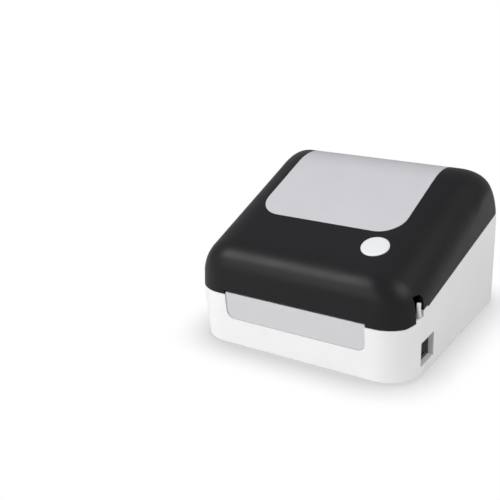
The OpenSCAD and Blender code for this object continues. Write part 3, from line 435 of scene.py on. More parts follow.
for side in (-1, 1):
    x0, x1 = sorted((side * ear_at, side * (ear_at + ear_wide)))
    ear = bar_across("ear", barrel, x0, x1, hinge_depth, hinge_height)
    carve(ear, brick("root", (x0, x1), (hinge_depth - barrel, hinge_depth + barrel - 1.4),
                     (hinge_height - 14, hinge_height)), "UNION")
    ears.append(ear)
ears = joined("ears", ears)
carve(ears, form_mesh("within", 0.6, low=-3), "INTERSECT")
carve(housing, ears, "UNION")
carve(housing, prism("panel opening", panel_outline(0, 60), "d", -20, 20), "DIFFERENCE")
carve(housing, brick("switch recess", (body_w / 2 - switch_deep, past_side),
                     (switch_front, switch_front + switch_long),
                     (switch_low, switch_low + switch_tall)), "DIFFERENCE")
carve(housing, brick("switch hole", (body_w / 2 - switch_deep - 5, body_w / 2 - 1),
                     (switch_front + 1.6, switch_front + switch_long - 1.6),
                     (switch_low + 1.6, switch_low + switch_tall - 1.6)), "DIFFERENCE")
carve(housing, joined("pilot holes", [peg("pilot", pilot_radius, x, d, boss_low - 1, boss_high - 1)
                                      for x, d in base_screws]), "DIFFERENCE")
carve(housing, bar_across("pin bore", 1.5, -73, 73, hinge_depth, hinge_height), "DIFFERENCE")
rear_openings = {"usb": ((-20.4, -7.6), (9.2, 21.0)), "dc": ((21.0, 31.0), (9.2, 21.0)),
                 "label slot": ((-55, 55), (52, 58))}
carve(housing, joined("rear openings", [brick(name, x, (body_d - 8, body_d + 2), z)
                                        for name, (x, z) in rear_openings.items()]), "DIFFERENCE")
moulded(housing, white_abs)
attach(housing, "base")
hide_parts("base_housing")

# ---- Power switch ------------------------------------------------------------------------------
# A bought-in rocker switch of glossy black nylon, pushed into a recess in the right wall.
# The rocker is hollowed along its length, and a finger tips it about two short pivots.

nylon, tree = new_material("black nylon, polished mould")
place = add_node(tree, "ShaderNodeTexCoord")
smudge = add_node(tree, "ShaderNodeTexNoise", {"Scale": 1 / (6 * MM), "Detail": 3.0},
                  {"Vector": place.outputs["Object"]})
gloss = add_node(tree, "ShaderNodeMapRange", {"To Min": 0.18, "To Max": 0.34},
                 {"Value": smudge.outputs["Fac"]})
edge = add_node(tree, "ShaderNodeBevel", {"Radius": 0.3 * MM}, samples=4)
body = add_node(tree, "ShaderNodeBsdfPrincipled",
                {"Base Color": linear("#161617"), "IOR": 1.53, "Specular IOR Level": 0.3},
                {"Roughness": gloss.outputs[0], "Normal": edge.outputs[0]})
add_node(tree, "ShaderNodeOutputMaterial", links={"Surface": body.outputs[0]})
rocker_x, rocker_depth, rocker_height = 80.5, 37.25, 18.3
rocker_half, rocker_reach, rocker_dip, rocker_tilt = 7, 5.6, 1.3, -7
rocker_back, rocker_half_wide, pivot_half = 3, 5.5, 6.7
scoop = [(rocker_reach - rocker_dip * (1 - (k / rocker_half) ** 2), k)
         for k in range(-rocker_half, rocker_half + 1)]
rocker = prism("rocker", [(a, b + body_d / 2) for a, b in
                          [(-rocker_back, -rocker_back)] + scoop + [(-rocker_back, rocker_back)]],
               "z", -rocker_half_wide, rocker_half_wide)
tilt = (Matrix.Translation((rocker_x * MM, depth_to_y(rocker_depth) * MM, rocker_height * MM))
        @ Matrix.Rotation(math.radians(rocker_tilt), 4, "Z"))
rocker.data.transform(tilt)
carve(rocker, peg("pivot", 1.2, rocker_x, rocker_depth, rocker_height - pivot_half,
                  rocker_height + pivot_half), "UNION")
moulded(rocker, nylon)
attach(rocker, "power_rocker")
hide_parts("power_rocker")

# ---- Switch body -------------------------------------------------------------------------------
# The nylon shell of the rocker switch, clipped into the wall. The rocker turns on two pins in it.


def dress(material, *names):
    """Gives the CAD pieces with these names a material of their own."""
    for name in names:
        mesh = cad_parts[name].data
        mesh.materials.clear()
        mesh.materials.append(material)


dress(nylon, "power_switch_body")

# ---- Bottom cover and feet ---------------------------------------------------------------------
# A flat white ABS moulding with the posts that carry the tray and the circuit board.
# Four discs of black nitrile rubber, dull and a little dusty, are glued under it.

rubber, tree = new_material("black nitrile rubber")
place = add_node(tree, "ShaderNodeTexCoord")
dust = add_node(tree, "ShaderNodeTexNoise", {"Scale": 1 / (3 * MM), "Detail": 5.0},
                {"Vector": place.outputs["Object"]})
grey = add_node(tree, "ShaderNodeMix", {6: linear("#1C1C1D"), 7: linear("#2A2A2B")},
                {0: dust.outputs["Fac"]}, data_type="RGBA")
edge = add_node(tree, "ShaderNodeBevel", {"Radius": 0.4 * MM}, samples=4)
skin = add_node(tree, "ShaderNodeBump", {"Strength": 0.15, "Distance": 0.03 * MM},
                {"Height": dust.outputs["Fac"], "Normal": edge.outputs[0]})
body = add_node(tree, "ShaderNodeBsdfPrincipled", {"Roughness": 0.72, "IOR": 1.5},
                {"Base Color": grey.outputs[2], "Normal": skin.outputs[0]})
add_node(tree, "ShaderNodeOutputMaterial", links={"Surface": body.outputs[0]})
dress(white_abs, "bottom_cover")
dress(rubber, "rubber_feet")

# ---- Print frame -------------------------------------------------------------------------------
# A channel folded from 1.5 mm zinc-plated steel; its cheeks carry the platen, the gears and the
# latch shaft. Plating leaves a faint mottle.

zinc, tree = new_material("zinc-plated steel sheet")
place = add_node(tree, "ShaderNodeTexCoord")
flakes = add_node(tree, "ShaderNodeTexVoronoi", {"Scale": 1 / (5 * MM), "Randomness": 1.0},
                  {"Vector": place.outputs["Object"]})
fine = add_node(tree, "ShaderNodeTexNoise", {"Scale": 1 / (0.8 * MM), "Detail": 3.0},
                {"Vector": place.outputs["Object"]})
tint = add_node(tree, "ShaderNodeMix", {0: 0.3, 6: linear("#B9BCC0")}, {7: flakes.outputs["Color"]},
                data_type="RGBA", blend_type="SOFT_LIGHT")
spread = add_node(tree, "ShaderNodeMapRange", {"To Min": 0.28, "To Max": 0.44},
                  {"Value": fine.outputs["Fac"]})
edge = add_node(tree, "ShaderNodeBevel", {"Radius": 0.2 * MM}, samples=4)
body = add_node(tree, "ShaderNodeBsdfPrincipled", {"Metallic": 1.0},
                {"Base Color": tint.outputs[2], "Roughness": spread.outputs[0],
                 "Normal": edge.outputs[0]})
add_node(tree, "ShaderNodeOutputMaterial", links={"Surface": body.outputs[0]})
dress(zinc, "print_frame")

# ---- Tear bar ----------------------------------------------------------------------------------
# A strip of spring steel 0.8 mm thick behind the front panel, punched with 54 teeth. It ends just
# above the panel's top edge, and labels are torn off upward against it.


def node_group(name, **inputs):
    """An empty geometry group with these inputs; gives it, its input node and each input's key."""
    group = bpy.data.node_groups.new(name, "GeometryNodeTree")
    keys = {}
    for label, kind in inputs.items():
        label = label.replace("_", " ")
        keys[label] = group.interface.new_socket(label, socket_type="NodeSocket" + kind).identifier
    group.interface.new_socket("Geometry", in_out="OUTPUT", socket_type="NodeSocketGeometry")
    return group, add_node(group, "NodeGroupInput"), keys


def set_out_by(piece, group, keys, **values):
    """Runs a geometry group on a piece with these values and keeps the mesh that it makes."""
    step = piece.modifiers.new(group.name, "NODES")
    step.node_group = group
    for label, value in values.items():
        step[keys[label.replace("_", " ")]] = value
    apply_step(piece, step)


strip, start, strip_keys = node_group("toothed strip", Teeth="Int", Pitch="Float",
                                      Tooth_Height="Float", Strip_Height="Float",
                                      Thickness="Float", Material="Material")
count = add_node(strip, "ShaderNodeMath", {1: 2.0, 2: 1.0}, {0: start.outputs["Teeth"]},
                 operation="MULTIPLY_ADD")
half_pitch = add_node(strip, "ShaderNodeMath", {1: 0.5}, {0: start.outputs["Pitch"]},
                      operation="MULTIPLY")
stride = add_node(strip, "ShaderNodeCombineXYZ", links={"X": half_pitch.outputs[0]})
edge_line = add_node(strip, "GeometryNodeMeshLine",
                     links={"Count": count.outputs[0], "Offset": stride.outputs[0]},
                     mode="OFFSET", count_mode="TOTAL")
number = add_node(strip, "GeometryNodeInputIndex")
odd = add_node(strip, "ShaderNodeMath", {1: 2.0}, {0: number.outputs[0]}, operation="MODULO")
rise = add_node(strip, "ShaderNodeMath",
                links={0: odd.outputs[0], 1: start.outputs["Tooth Height"]}, operation="MULTIPLY")
lift = add_node(strip, "ShaderNodeCombineXYZ", links={"Z": rise.outputs[0]})
zigzag = add_node(strip, "GeometryNodeSetPosition",
                  links={"Geometry": edge_line.outputs[0], "Offset": lift.outputs[0]})
sheet = add_node(strip, "GeometryNodeExtrudeMesh", {"Offset": (0, 0, -1)},
                 {"Mesh": zigzag.outputs[0], "Offset Scale": start.outputs["Strip Height"]},
                 mode="EDGES")
here = add_node(strip, "GeometryNodeInputPosition")
parts = add_node(strip, "ShaderNodeSeparateXYZ", links={0: here.outputs[0]})
foot = add_node(strip, "ShaderNodeMath", {1: -1.0}, {0: start.outputs["Strip Height"]},
                operation="MULTIPLY")
level = add_node(strip, "ShaderNodeCombineXYZ",
                 links={"X": parts.outputs["X"], "Z": foot.outputs[0]})
blade = add_node(strip, "GeometryNodeSetPosition",
                 links={"Geometry": sheet.outputs["Mesh"], "Selection": sheet.outputs["Top"],
                        "Position": level.outputs[0]})
thick = add_node(strip, "GeometryNodeExtrudeMesh", {"Offset": (0, 1, 0), "Individual": False},
                 {"Mesh": blade.outputs[0], "Offset Scale": start.outputs["Thickness"]},
                 mode="FACES")
back = add_node(strip, "GeometryNodeFlipFaces", links={"Mesh": blade.outputs[0]})
both = add_node(strip, "GeometryNodeJoinGeometry")
for piece in (thick.outputs["Mesh"], back.outputs["Mesh"]):
    strip.links.new(piece, both.inputs[0])
closed = add_node(strip, "GeometryNodeMergeByDistance", {"Distance": 0.001 * MM},
                  {"Geometry": both.outputs[0]})
painted = add_node(strip, "GeometryNodeSetMaterial",
                   links={"Geometry": closed.outputs[0], "Material": start.outputs["Material"]})
add_node(strip, "NodeGroupOutput", links={"Geometry": painted.outputs[0]})


def metal(name, colour, roughness, scratch_mm, along, soften=0.2):
    """Bare metal with fine scratches along one axis, which stretch its highlights across them.

    The scratches are drawn coarser than real ones, so that they show.
    """
    material, tree = new_material(name)
    place = add_node(tree, "ShaderNodeTexCoord")
    stretch = add_node(tree, "ShaderNodeMapping",
                       {"Scale": [0.04 if axis == along else 1.0 for axis in "xyz"]},
                       {"Vector": place.outputs["Object"]})
    lines = add_node(tree, "ShaderNodeTexNoise", {"Scale": 1 / (scratch_mm * MM), "Detail": 4.0},
                     {"Vector": stretch.outputs[0]})
    spread = add_node(tree, "ShaderNodeMapRange",
                      {"To Min": roughness - 0.06, "To Max": roughness + 0.1},
                      {"Value": lines.outputs["Fac"]})
    edge = add_node(tree, "ShaderNodeBevel", {"Radius": soften * MM}, samples=4)
    skin = add_node(tree, "ShaderNodeBump", {"Strength": 0.08, "Distance": 0.01 * MM},
                    {"Height": lines.outputs["Fac"], "Normal": edge.outputs[0]})
    body = add_node(tree, "ShaderNodeBsdfPrincipled",
                    {"Base Color": linear(colour), "Metallic": 1.0},
                    {"Roughness": spread.outputs[0], "Normal": skin.outputs[0]})
    add_node(tree, "ShaderNodeOutputMaterial", links={"Surface": body.outputs[0]})
    return material


spring_steel = metal("punched spring steel", "#B9BBBE", 0.24, 0.25, "z", soften=0.05)
tear_teeth, tear_pitch, tooth_height, tear_thick = 54, 2.0, 0.8, 0.8
tear_low, tear_high, tear_depth = 40.3, 45.9, 5.4
tear_bar = bpy.data.objects.new("toothed_tear_bar", bpy.data.meshes.new("tear bar"))
bpy.context.scene.collection.objects.link(tear_bar)
set_out_by(tear_bar, strip, strip_keys, Teeth=tear_teeth, Pitch=tear_pitch * MM,
           Tooth_Height=tooth_height * MM,
           Strip_Height=(tear_high - tooth_height - tear_low) * MM, Thickness=tear_thick * MM,
           Material=spring_steel)
tear_bar.data.transform(Matrix.Translation((-tear_teeth * tear_pitch / 2 * MM,
                                            depth_to_y(tear_depth) * MM,
                                            (tear_high - tooth_height) * MM)))
moulded(tear_bar, spring_steel)
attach(tear_bar, "base")
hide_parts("tear_bar")

# ---- Stepper motor -----------------------------------------------------------------------------
# A bought-in motor with a drawn steel can, screwed to the left cheek by its flange.

can_steel = metal("drawn steel can", "#A9ABAD", 0.34, 0.5, "x")
dress(can_steel, "stepper_motor")

# ---- Feed gears and bushes ---------------------------------------------------------------------
# Ivory acetal, moulded and left dry, which lets a little light into its edges: the bushes for the
# platen, the wheels and the rack pinion. The motor's pinion is turned and cut from brass.

acetal, tree = new_material("natural acetal")
place = add_node(tree, "ShaderNodeTexCoord")
flow = add_node(tree, "ShaderNodeTexNoise", {"Scale": 1 / (4 * MM), "Detail": 2.0},
                {"Vector": place.outputs["Object"]})
tint = add_node(tree, "ShaderNodeMix", {6: linear("#DCD8CC"), 7: linear("#E8E5DA")},
                {0: flow.outputs["Fac"]}, data_type="RGBA")
edge = add_node(tree, "ShaderNodeBevel", {"Radius": 0.15 * MM}, samples=4)
body = add_node(tree, "ShaderNodeBsdfPrincipled",
                {"Roughness": 0.36, "IOR": 1.48, "Subsurface Weight": 0.15,
                 "Subsurface Scale": 1.5 * MM},
                {"Base Color": tint.outputs[2], "Normal": edge.outputs[0]})
add_node(tree, "ShaderNodeOutputMaterial", links={"Surface": body.outputs[0]})
dress(acetal, "platen_bush_left", "platen_bush_right", "platen_gear", "idler_gear", "guide_pinion")
brass = metal("turned brass", "#C6A05A", 0.3, 0.3, "x", soften=0.1)
dress(brass, "motor_pinion")

# ---- Platen ------------------------------------------------------------------------------------
# Silicone rubber ground to a true cylinder on its steel shaft. The grinding leaves fine rings,
# which are drawn coarser than they are, so that they show.

platen_rubber, tree = new_material("ground silicone rubber")
place = add_node(tree, "ShaderNodeTexCoord")
squeeze = add_node(tree, "ShaderNodeMapping", {"Scale": (1.0, 0.02, 0.02)},
                   {"Vector": place.outputs["Object"]})
rings = add_node(tree, "ShaderNodeTexNoise", {"Scale": 1 / (0.3 * MM), "Detail": 2.0},
                 {"Vector": squeeze.outputs[0]})
skin = add_node(tree, "ShaderNodeBump", {"Strength": 0.2, "Distance": 0.02 * MM},
                {"Height": rings.outputs["Fac"]})
tint = add_node(tree, "ShaderNodeMix", {6: linear("#232324"), 7: linear("#303031")},
                {0: rings.outputs["Fac"]}, data_type="RGBA")
body = add_node(tree, "ShaderNodeBsdfPrincipled", {"Roughness": 0.6, "IOR": 1.42},
                {"Base Color": tint.outputs[2], "Normal": skin.outputs[0]})
add_node(tree, "ShaderNodeOutputMaterial", links={"Surface": body.outputs[0]})
dress(platen_rubber, "platen_roller")

# ---- Release levers ----------------------------------------------------------------------------
# Two white ABS levers on one steel shaft. The curved bar outside is pulled back with a finger in
# the cover's notch, and the hook inside lets go of the pin that holds the cover shut.

button_white = spark_textured("white ABS, fine grain", "#EAEAEC", 0.4, grain=0.4, depth=0.06,
                              soften=0.3)
latch_depth, latch_height = 30.0, 38.5
bar_centre, bar_sweep, bar_wide, bar_thick = (40.6, 57.5), 19.0, 2.6, 2.4
for side, node in ((-1, "release_lever_left"), (1, "release_lever_right")):
    lever = prism("lever", arc(bar_centre, bar_sweep + bar_wide / 2, 172, 205, 20)
                  + arc(bar_centre, bar_sweep - bar_wide / 2, 207, 172, 20),
                  "x", body_w / 2 - bar_thick, body_w / 2)
    rounding = lever.modifiers.new("rounding", "BEVEL")
    rounding.width, rounding.segments, rounding.limit_method = 0.7 * MM, 4, "ANGLE"
    apply_step(lever, rounding)
    carve(lever, prism("step", [(21.9, 49.2), (22.4, 48.5), (24.4, 48.5), (24.6, 49.8),
                                (23.5, 51.6), (21.9, 51.6)], "x", 80, 89.4), "UNION")
    carve(lever, prism("arm", [(21.6, 49.2), (22.4, 48.5), (29, 34.3), (34, 38.5), (31, 42.7),
                               (24.8, 50.4), (23.6, 51.6), (21.6, 51.6)], "x", 80, 83.6), "UNION")
    carve(lever, bar_across("hub", 3, 62.5, 80.5, latch_depth, latch_height), "UNION")
    carve(lever, bar_across("collar", 4.2, 77, 83.6, latch_depth, latch_height), "UNION")
    carve(lever, prism("hook", [(27, 38.5), (33.6, 38.5), (32.4, 55.5), (28, 57), (26.1, 56.2),
                                (26, 53.1), (28.2, 52.4)], "x", 64, 68), "UNION")
    carve(lever, bar_across("bore", 2, 0, 84, latch_depth, latch_height), "DIFFERENCE")
    if side < 0:
        lever.data.transform(Matrix.Scale(-1, 4, (1, 0, 0)))
        lever.data.flip_normals()
    lever.name = node + "_moulding"
    moulded(lever, button_white)
    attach(lever, "latch")
    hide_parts(node)

# ---- Shafts, rods and pins ---------------------------------------------------------------------
# Bright drawn steel rod, cut to length: the platen's shaft, the latch shaft, the head's pivot rod,
# the idler's stud, both catch pins and both hinge pins.

bright_steel = metal("bright drawn steel", "#C3C5C8", 0.22, 0.25, "x", soften=0.25)
dress(bright_steel, "platen_shaft", "latch_shaft", "head_pivot_rod", "idler_stud", "catch_pin_left",
      "catch_pin_right", "hinge_pin_left", "hinge_pin_right")

# ---- Springs -----------------------------------------------------------------------------------
# Round spring wire, coiled cold and oiled: two over the print head and one round the latch shaft.

wire = metal("oiled spring wire", "#8E9094", 0.26, 0.2, "z", soften=0.05)
dress(wire, "head_spring_left", "head_spring_right", "latch_spring")

# ---- Circuit boards ----------------------------------------------------------------------------
# Glass-fibre laminate under green solder mask, with copper tracks that show as lighter lines, and
# black epoxy packages, headers and capacitors soldered on top.

board_green, tree = new_material("green solder mask over copper")
place = add_node(tree, "ShaderNodeTexCoord")
tracks = add_node(tree, "ShaderNodeTexBrick",
                  {"Scale": 1.0, "Mortar Size": 0.25 * MM, "Brick Width": 7 * MM,
                   "Row Height": 1.8 * MM, "Color1": linear("#0C4A2A"), "Color2": linear("#0E5230"),
                   "Mortar": linear("#1F7A48")},
                  {"Vector": place.outputs["Object"]}, offset=0.37)
weave = add_node(tree, "ShaderNodeTexNoise", {"Scale": 1 / (0.6 * MM), "Detail": 2.0},
                 {"Vector": place.outputs["Object"]})
skin = add_node(tree, "ShaderNodeBump", {"Strength": 0.06, "Distance": 0.02 * MM},
                {"Height": weave.outputs["Fac"]})
body = add_node(tree, "ShaderNodeBsdfPrincipled", {"Roughness": 0.28, "IOR": 1.55},
                {"Base Color": tracks.outputs["Color"], "Normal": skin.outputs[0]})
add_node(tree, "ShaderNodeOutputMaterial", links={"Surface": body.outputs[0]})
dress(board_green, "main_board", "button_board")
epoxy = spark_textured("black epoxy packages", "#18181A", 0.5, grain=0.3, depth=0.1, soften=0.15,
                       gloss=0.4)
dress(epoxy, "board_components", "gap_sensor")

# ---- Sockets -----------------------------------------------------------------------------------
# A USB type B socket in a folded tin-plated shell, and a nylon power jack, both on the board.

tin = metal("tin-plated shell", "#C8C9C6", 0.3, 0.6, "y", soften=0.15)
dress(tin, "usb_socket")
dress(nylon, "dc_jack")

# ---- Media tray --------------------------------------------------------------------------------
# One dark grey ABS moulding: a deck in front, a ramp, and the floor of the roll's bay with the
# slots for the racks.

tray_abs = spark_textured("dark grey ABS, matt", "#39393B", 0.55, grain=0.8, depth=0.12, gloss=0.3)
dress(tray_abs, "media_tray")

# ---- Roll holders ------------------------------------------------------------------------------
# Two light grey ABS plates that slide together on racks under the tray. A dark hub on each turns
# inside the roll's core.

holder_abs = spark_textured("light grey ABS, matt", "#BFBFC2", 0.5)
dress(holder_abs, "roll_holder_left", "roll_holder_right")
dress(tray_abs, "roll_hub_left", "roll_hub_right")

# ---- Front panel -------------------------------------------------------------------------------
# A flat grey ABS plate under the label exit, let into the housing's front by 0.8 mm.
# A thin flange behind it snaps against the wall.

grey_abs = spark_textured("grey ABS, matt", "#CFCFD1", 0.5)
panel = form_mesh("front_plate", 0.8)
carve(panel, form_mesh("behind", wall + 1, low=-3), "DIFFERENCE")
carve(panel, prism("outline", panel_outline(-0.2, panel_top), "d", -5, 15), "INTERSECT")
flange = form_mesh("flange", wall)
carve(flange, form_mesh("behind", wall + 1.4, low=-3), "DIFFERENCE")
carve(flange, prism("outline", panel_outline(3, seam_front - 0.6), "d", -5, 15), "INTERSECT")
carve(panel, flange, "UNION")
moulded(panel, grey_abs)
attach(panel, "base")
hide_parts("front_panel")

# ---- Cover -------------------------------------------------------------------------------------
# The clamshell over the roll: black satin ABS, 3 mm thick, with a rebate that holds the window.
# Bosses under it carry the print head and the feed button's board; two lugs turn on the hinge pins.

black_abs = spark_textured("black ABS, satin", "#1B1B1D", 0.39, grain=0.6, depth=0.08, gloss=0.18)
window_half, window_front, window_rear_end = 59.4, 48.5, body_d - 8
window_corner, window_rear_corner, window_thick, window_rebate = 19.0, 6.0, 1.9, 3.0
button_at, button_depth_at, button_radius = 49.8, 33.5, 10.4


def window_outline(grow):
    x, f, r = window_half + grow, window_corner + grow, window_rear_corner + grow
    front, rear = window_front - grow, window_rear_end + grow
    return (arc((-x + f, front + f), f, 180, 270, 12) + arc((x - f, front + f), f, 270, 360, 12)
            + arc((x - r, rear - r), r, 0, 90, 6) + arc((-x + r, rear - r), r, 90, 180, 6))


def on_slope(piece, x, depth):
    """Moves a piece made about the origin to a point on the sloping top, square to it."""
    height = top_at_front + math.tan(top_slope) * depth
    piece.data.transform(Matrix.Translation((x * MM, depth_to_y(depth) * MM, height * MM))
                         @ Matrix.Rotation(top_slope, 4, "X"))
    return piece


def upright(radius, z0, z1, x=0.0, y=0.0, steps=48):
    return peg("upright", radius, x, y + body_d / 2, z0, z1, steps)


head_screws = [(x, d) for x in (-24, 24) for d in (18, 33)]
button_screws = (-15.5, 15.5)
cover = form_mesh("cover", 0)
notch_end = notch_rear + seam_gap
carve(cover, prism("above", [(-2, 200)] + front_edge(notch_end, seam_gap)
                   + rear_edge(notch_end, seam_gap) + [(body_d + 2, 200)],
                   "x", -past_side, past_side), "INTERSECT")
carve(cover, form_mesh("hollow", wall, low=-3), "DIFFERENCE")
carve(cover, prism("window cut", window_outline(0.2), "z", 60, 200), "DIFFERENCE")
rebate = form_mesh("rebate", window_thick + 0.1)
carve(rebate, form_mesh("hollow", wall, low=-3), "DIFFERENCE")
carve(rebate, prism("rim", window_outline(0.5), "z", seam_rear, 200), "INTERSECT")
carve(rebate, prism("see through", window_outline(-window_rebate), "z", 50, 200), "DIFFERENCE")
carve(cover, rebate, "UNION")
carve(cover, joined("ear clearances", [
    bar_across("clearance", barrel + ear_gap,
               *sorted((side * (ear_at - ear_gap), side * (ear_at + ear_wide + ear_gap))),
               hinge_depth, hinge_height) for side in (-1, 1)]), "DIFFERENCE")
hangers = [peg("hanger", boss_radius, x, d, 60, 120) for x, d in head_screws]
hangers += [on_slope(upright(2.5, -10, 0, x=x), button_at, button_depth_at) for x in button_screws]
hangers = joined("hangers", hangers)
carve(hangers, form_mesh("inside", wall - 0.5, low=-3), "INTERSECT")
carve(cover, hangers, "UNION")
lugs = []
for side in (-1, 1):
    x0, x1 = sorted((side * (ear_at - ear_gap - lug_wide), side * (ear_at - ear_gap)))
    lug = bar_across("lug", barrel, x0, x1, hinge_depth, hinge_height)
    carve(lug, brick("root", (x0, x1), (hinge_depth - barrel, hinge_depth + 3),
                     (hinge_height, hinge_height + 7)), "UNION")
    lugs.append(lug)
lugs = joined("lugs", lugs)
carve(lugs, form_mesh("within", 0.2, low=-3), "INTERSECT")
carve(cover, lugs, "UNION")
carve(cover, joined("lever notches", [
    prism("notch", [(notch_front, 0), (notch_front, notch_top),
                    (notch_end - notch_slant, notch_top),
                    (notch_end, notch_top - notch_slant), (notch_end, 0)],
          "x", *sorted((side * (body_w / 2 - notch_deep), side * past_side))) for side in (-1, 1)]),
      "DIFFERENCE")
carve(cover, on_slope(upright(button_radius + 0.3, -wall - 1, 16), button_at, button_depth_at),
      "DIFFERENCE")
carve(cover, brick("label exit", (-panel_half - 0.6, panel_half + 0.6), (-2, 9),
                   (30, panel_top + 1.5)), "DIFFERENCE")
carve(cover, bar_across("pin bore", 1.56, -ear_at, ear_at, hinge_depth, hinge_height), "DIFFERENCE")
pilots = [peg("pilot", pilot_radius, x, d, 59, 68) for x, d in head_screws]
pilots += [on_slope(upright(1, -11, -5, x=x), button_at, button_depth_at) for x in button_screws]
carve(cover, joined("pilot holes", pilots), "DIFFERENCE")
moulded(cover, black_abs)
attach(cover, "lid")
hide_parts("top_cover")

# ---- Window ------------------------------------------------------------------------------------
# A smoke-tinted sheet of moulded polycarbonate, 1.9 mm thick, that lies flush in the cover's
# rebate and bends down over the rear, so that the roll can be seen. It is glued in, and its fine
# frosting is drawn coarse enough to show.

smoke, tree = new_material("frosted smoke polycarbonate")
place = add_node(tree, "ShaderNodeTexCoord")
haze = add_node(tree, "ShaderNodeTexNoise", {"Scale": 1 / (0.5 * MM), "Detail": 2.0},
                {"Vector": place.outputs["Object"]})
skin = add_node(tree, "ShaderNodeBump", {"Strength": 0.05, "Distance": 0.02 * MM},
                {"Height": haze.outputs["Fac"]})
cloud = add_node(tree, "ShaderNodeTexNoise", {"Scale": 1 / (30 * MM), "Detail": 2.0},
                 {"Vector": place.outputs["Object"]})
tint = add_node(tree, "ShaderNodeMix", {6: linear("#D3D3D7"), 7: linear("#DADADE")},
                {0: cloud.outputs["Fac"]}, data_type="RGBA")
body = add_node(tree, "ShaderNodeBsdfPrincipled",
                {"IOR": 1.585, "Roughness": 0.28, "Transmission Weight": 0.12},
                {"Base Color": tint.outputs[2], "Normal": skin.outputs[0]})
add_node(tree, "ShaderNodeOutputMaterial", links={"Surface": body.outputs[0]})
window = form_mesh("window", 0)
carve(window, form_mesh("under", window_thick, low=-3), "DIFFERENCE")
carve(window, prism("outline", window_outline(0), "z", seam_rear, 200), "INTERSECT")
moulded(window, smoke)
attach(window, "lid")
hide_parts("lid_window")

# ---- Print head --------------------------------------------------------------------------------
# An extruded aluminium heat sink on a pivot rod, in a plated steel bracket under the cover. Below
# it is the ceramic strip with a glassy line of heating dots near its front edge.

sink_metal = metal("extruded aluminium", "#C9CACC", 0.38, 0.35, "x")
dress(zinc, "head_bracket")
dress(sink_metal, "heat_sink")
ceramic, tree = new_material("glazed ceramic with a heating line")
place = add_node(tree, "ShaderNodeTexCoord")
split = add_node(tree, "ShaderNodeSeparateXYZ", links={0: place.outputs["Object"]})
from_line = add_node(tree, "ShaderNodeMath", {1: depth_to_y(14.0) * MM}, {0: split.outputs["Y"]},
                     operation="SUBTRACT")
off_line = add_node(tree, "ShaderNodeMath", links={0: from_line.outputs[0]}, operation="ABSOLUTE")
on_line = add_node(tree, "ShaderNodeMath", {1: 0.35 * MM}, {0: off_line.outputs[0]},
                   operation="LESS_THAN")
speckle = add_node(tree, "ShaderNodeTexNoise", {"Scale": 1 / (1.5 * MM), "Detail": 3.0},
                   {"Vector": place.outputs["Object"]})
glaze = add_node(tree, "ShaderNodeMix", {6: linear("#B9A97C"), 7: linear("#C8BA90")},
                 {0: speckle.outputs["Fac"]}, data_type="RGBA")
colour = add_node(tree, "ShaderNodeMix", {7: linear("#2B2620")},
                  {0: on_line.outputs[0], 6: glaze.outputs[2]}, data_type="RGBA")
body = add_node(tree, "ShaderNodeBsdfPrincipled", {"Roughness": 0.12, "IOR": 1.6},
                {"Base Color": colour.outputs[2]})
add_node(tree, "ShaderNodeOutputMaterial", links={"Surface": body.outputs[0]})
dress(ceramic, "thermal_head")

# ---- Feed button -------------------------------------------------------------------------------
# A white ABS cap with a faintly domed top. Its flange holds it under the cover, and a short stem
# presses the switch on the board below.


def turned(name, profile, steps=72):
    """Solid of revolution about the upright axis, from radius and height in millimetres."""
    points, faces = [(0, 0, profile[0][1] * MM)], []
    rows = profile[1:-1]
    for r, z in rows:
        points += [(r * MM * math.cos(2 * math.pi * k / steps),
                    r * MM * math.sin(2 * math.pi * k / steps), z * MM)
                   for k in range(steps)]
    points.append((0, 0, profile[-1][1] * MM))
    last = len(points) - 1
    for k in range(steps):
        n = (k + 1) % steps
        faces.append((0, 1 + k, 1 + n))
        for i in range(len(rows) - 1):
            a, b = 1 + i * steps, 1 + (i + 1) * steps
            faces.append((a + k, b + k, b + n, a + n))
        faces.append((last, last - steps + n, last - steps + k))
    return solid(name, points, faces)


cap = [(0, 0.85), (3, 0.84), (6, 0.79), (8.6, 0.7), (9.6, 0.58), (10.1, 0.38), (10.34, 0.1),
       (10.4, -0.3), (10.4, -4.2), (11.8, -4.2), (11.8, -5.4), (2.6, -5.4), (2.6, -7.6), (0, -7.6)]
button = on_slope(turned("button_cap", cap), button_at, button_depth_at)
moulded(button, button_white)
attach(button, "feed_button")
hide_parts("feed_button")

# ---- Screws ------------------------------------------------------------------------------------
# Zinc-plated pan-head screws with a cross recess, driven into bosses and posts: four under the
# base, four each for the frame, the board and the head, two under the button and one in the pinion.

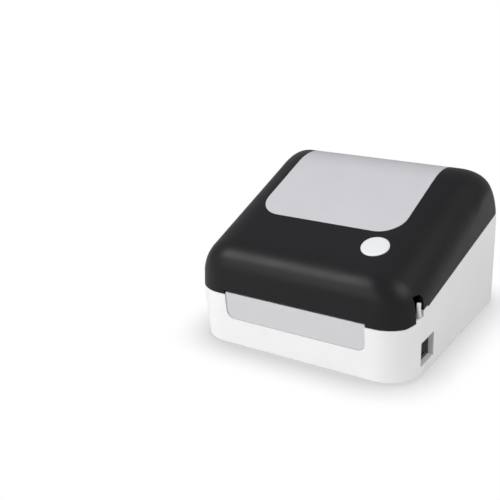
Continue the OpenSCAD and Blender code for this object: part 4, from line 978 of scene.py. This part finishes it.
set_out, start, screw_keys = node_group("screws set out", Geometry="Geometry", Screw="Object",
                                        Turn="Vector", Material="Material")
shape = add_node(set_out, "GeometryNodeObjectInfo", links={"Object": start.outputs["Screw"]})
turn = add_node(set_out, "FunctionNodeEulerToRotation", links={0: start.outputs["Turn"]})
spread = add_node(set_out, "GeometryNodeInstanceOnPoints",
                  links={"Points": start.outputs["Geometry"], "Instance": shape.outputs["Geometry"],
                         "Rotation": turn.outputs[0]})
real = add_node(set_out, "GeometryNodeRealizeInstances",
                links={"Geometry": spread.outputs["Instances"]})
painted = add_node(set_out, "GeometryNodeSetMaterial",
                   links={"Geometry": real.outputs[0], "Material": start.outputs["Material"]})
add_node(set_out, "NodeGroupOutput", links={"Geometry": painted.outputs[0]})

screw_steel = metal("zinc-plated screw steel", "#B6B9BE", 0.27, 0.2, "z", soften=0.1)
down, up = (math.pi, 0.0, 0.0), (0.0, 0.0, 0.0)
for node, rider, places, seat, facing, head, head_high, shaft, long in (
        ("bottom_screws", "base", base_screws, 3.1, down, 2.8, 1.4, 1.25, 6.6),
        ("frame_screws", "base", [(x, d) for x in (-45, 45) for d in (14, 52)], 5.2, up,
         2.8, 1.6, 1.25, 3.0),
        ("board_screws", "base", [(x, d) for x in (-54, 54) for d in (147, 178)], 9.6, up,
         2.8, 1.6, 1.25, 6.0),
        ("pinion_screw", "base", [(0, 122)], 12.0, down, 4.0, 1.6, 1.25, 5.5),
        ("head_screws", "lid", head_screws, 58.5, down, 2.8, 1.6, 1.25, 7.5),
        ("button_screws", "lid", [(x, body_d / 2) for x in button_screws], -11.6, down,
         2.0, 1.2, 0.95, 5.5)):
    screw = turned("screw", [(0, head_high), (0.6 * head, head_high),
                             (0.86 * head, head_high - 0.14), (head, head_high - 0.55),
                             (head, 0), (shaft, 0), (shaft, 0.7 - long),
                             (0.55 * shaft, -long), (0, -long)], 32)
    for width, length in ((0.5, 0.55 * head), (0.55 * head, 0.5)):
        carve(screw, brick("recess", (-width, width), (body_d / 2 - length, body_d / 2 + length),
                           (head_high - 0.9, head_high + 1)), "DIFFERENCE")
    spots = bpy.data.meshes.new(node)
    spots.from_pydata([(x * MM, depth_to_y(d) * MM, seat * MM) for x, d in places], [], [])
    screws = bpy.data.objects.new(node + "_cross_head", spots)
    bpy.context.scene.collection.objects.link(screws)
    set_out_by(screws, set_out, screw_keys, Screw=screw, Turn=facing, Material=screw_steel)
    bpy.data.objects.remove(screw)
    if node == "button_screws":
        on_slope(screws, button_at, button_depth_at)
    moulded(screws, screw_steel)
    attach(screws, rider)
    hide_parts(node)
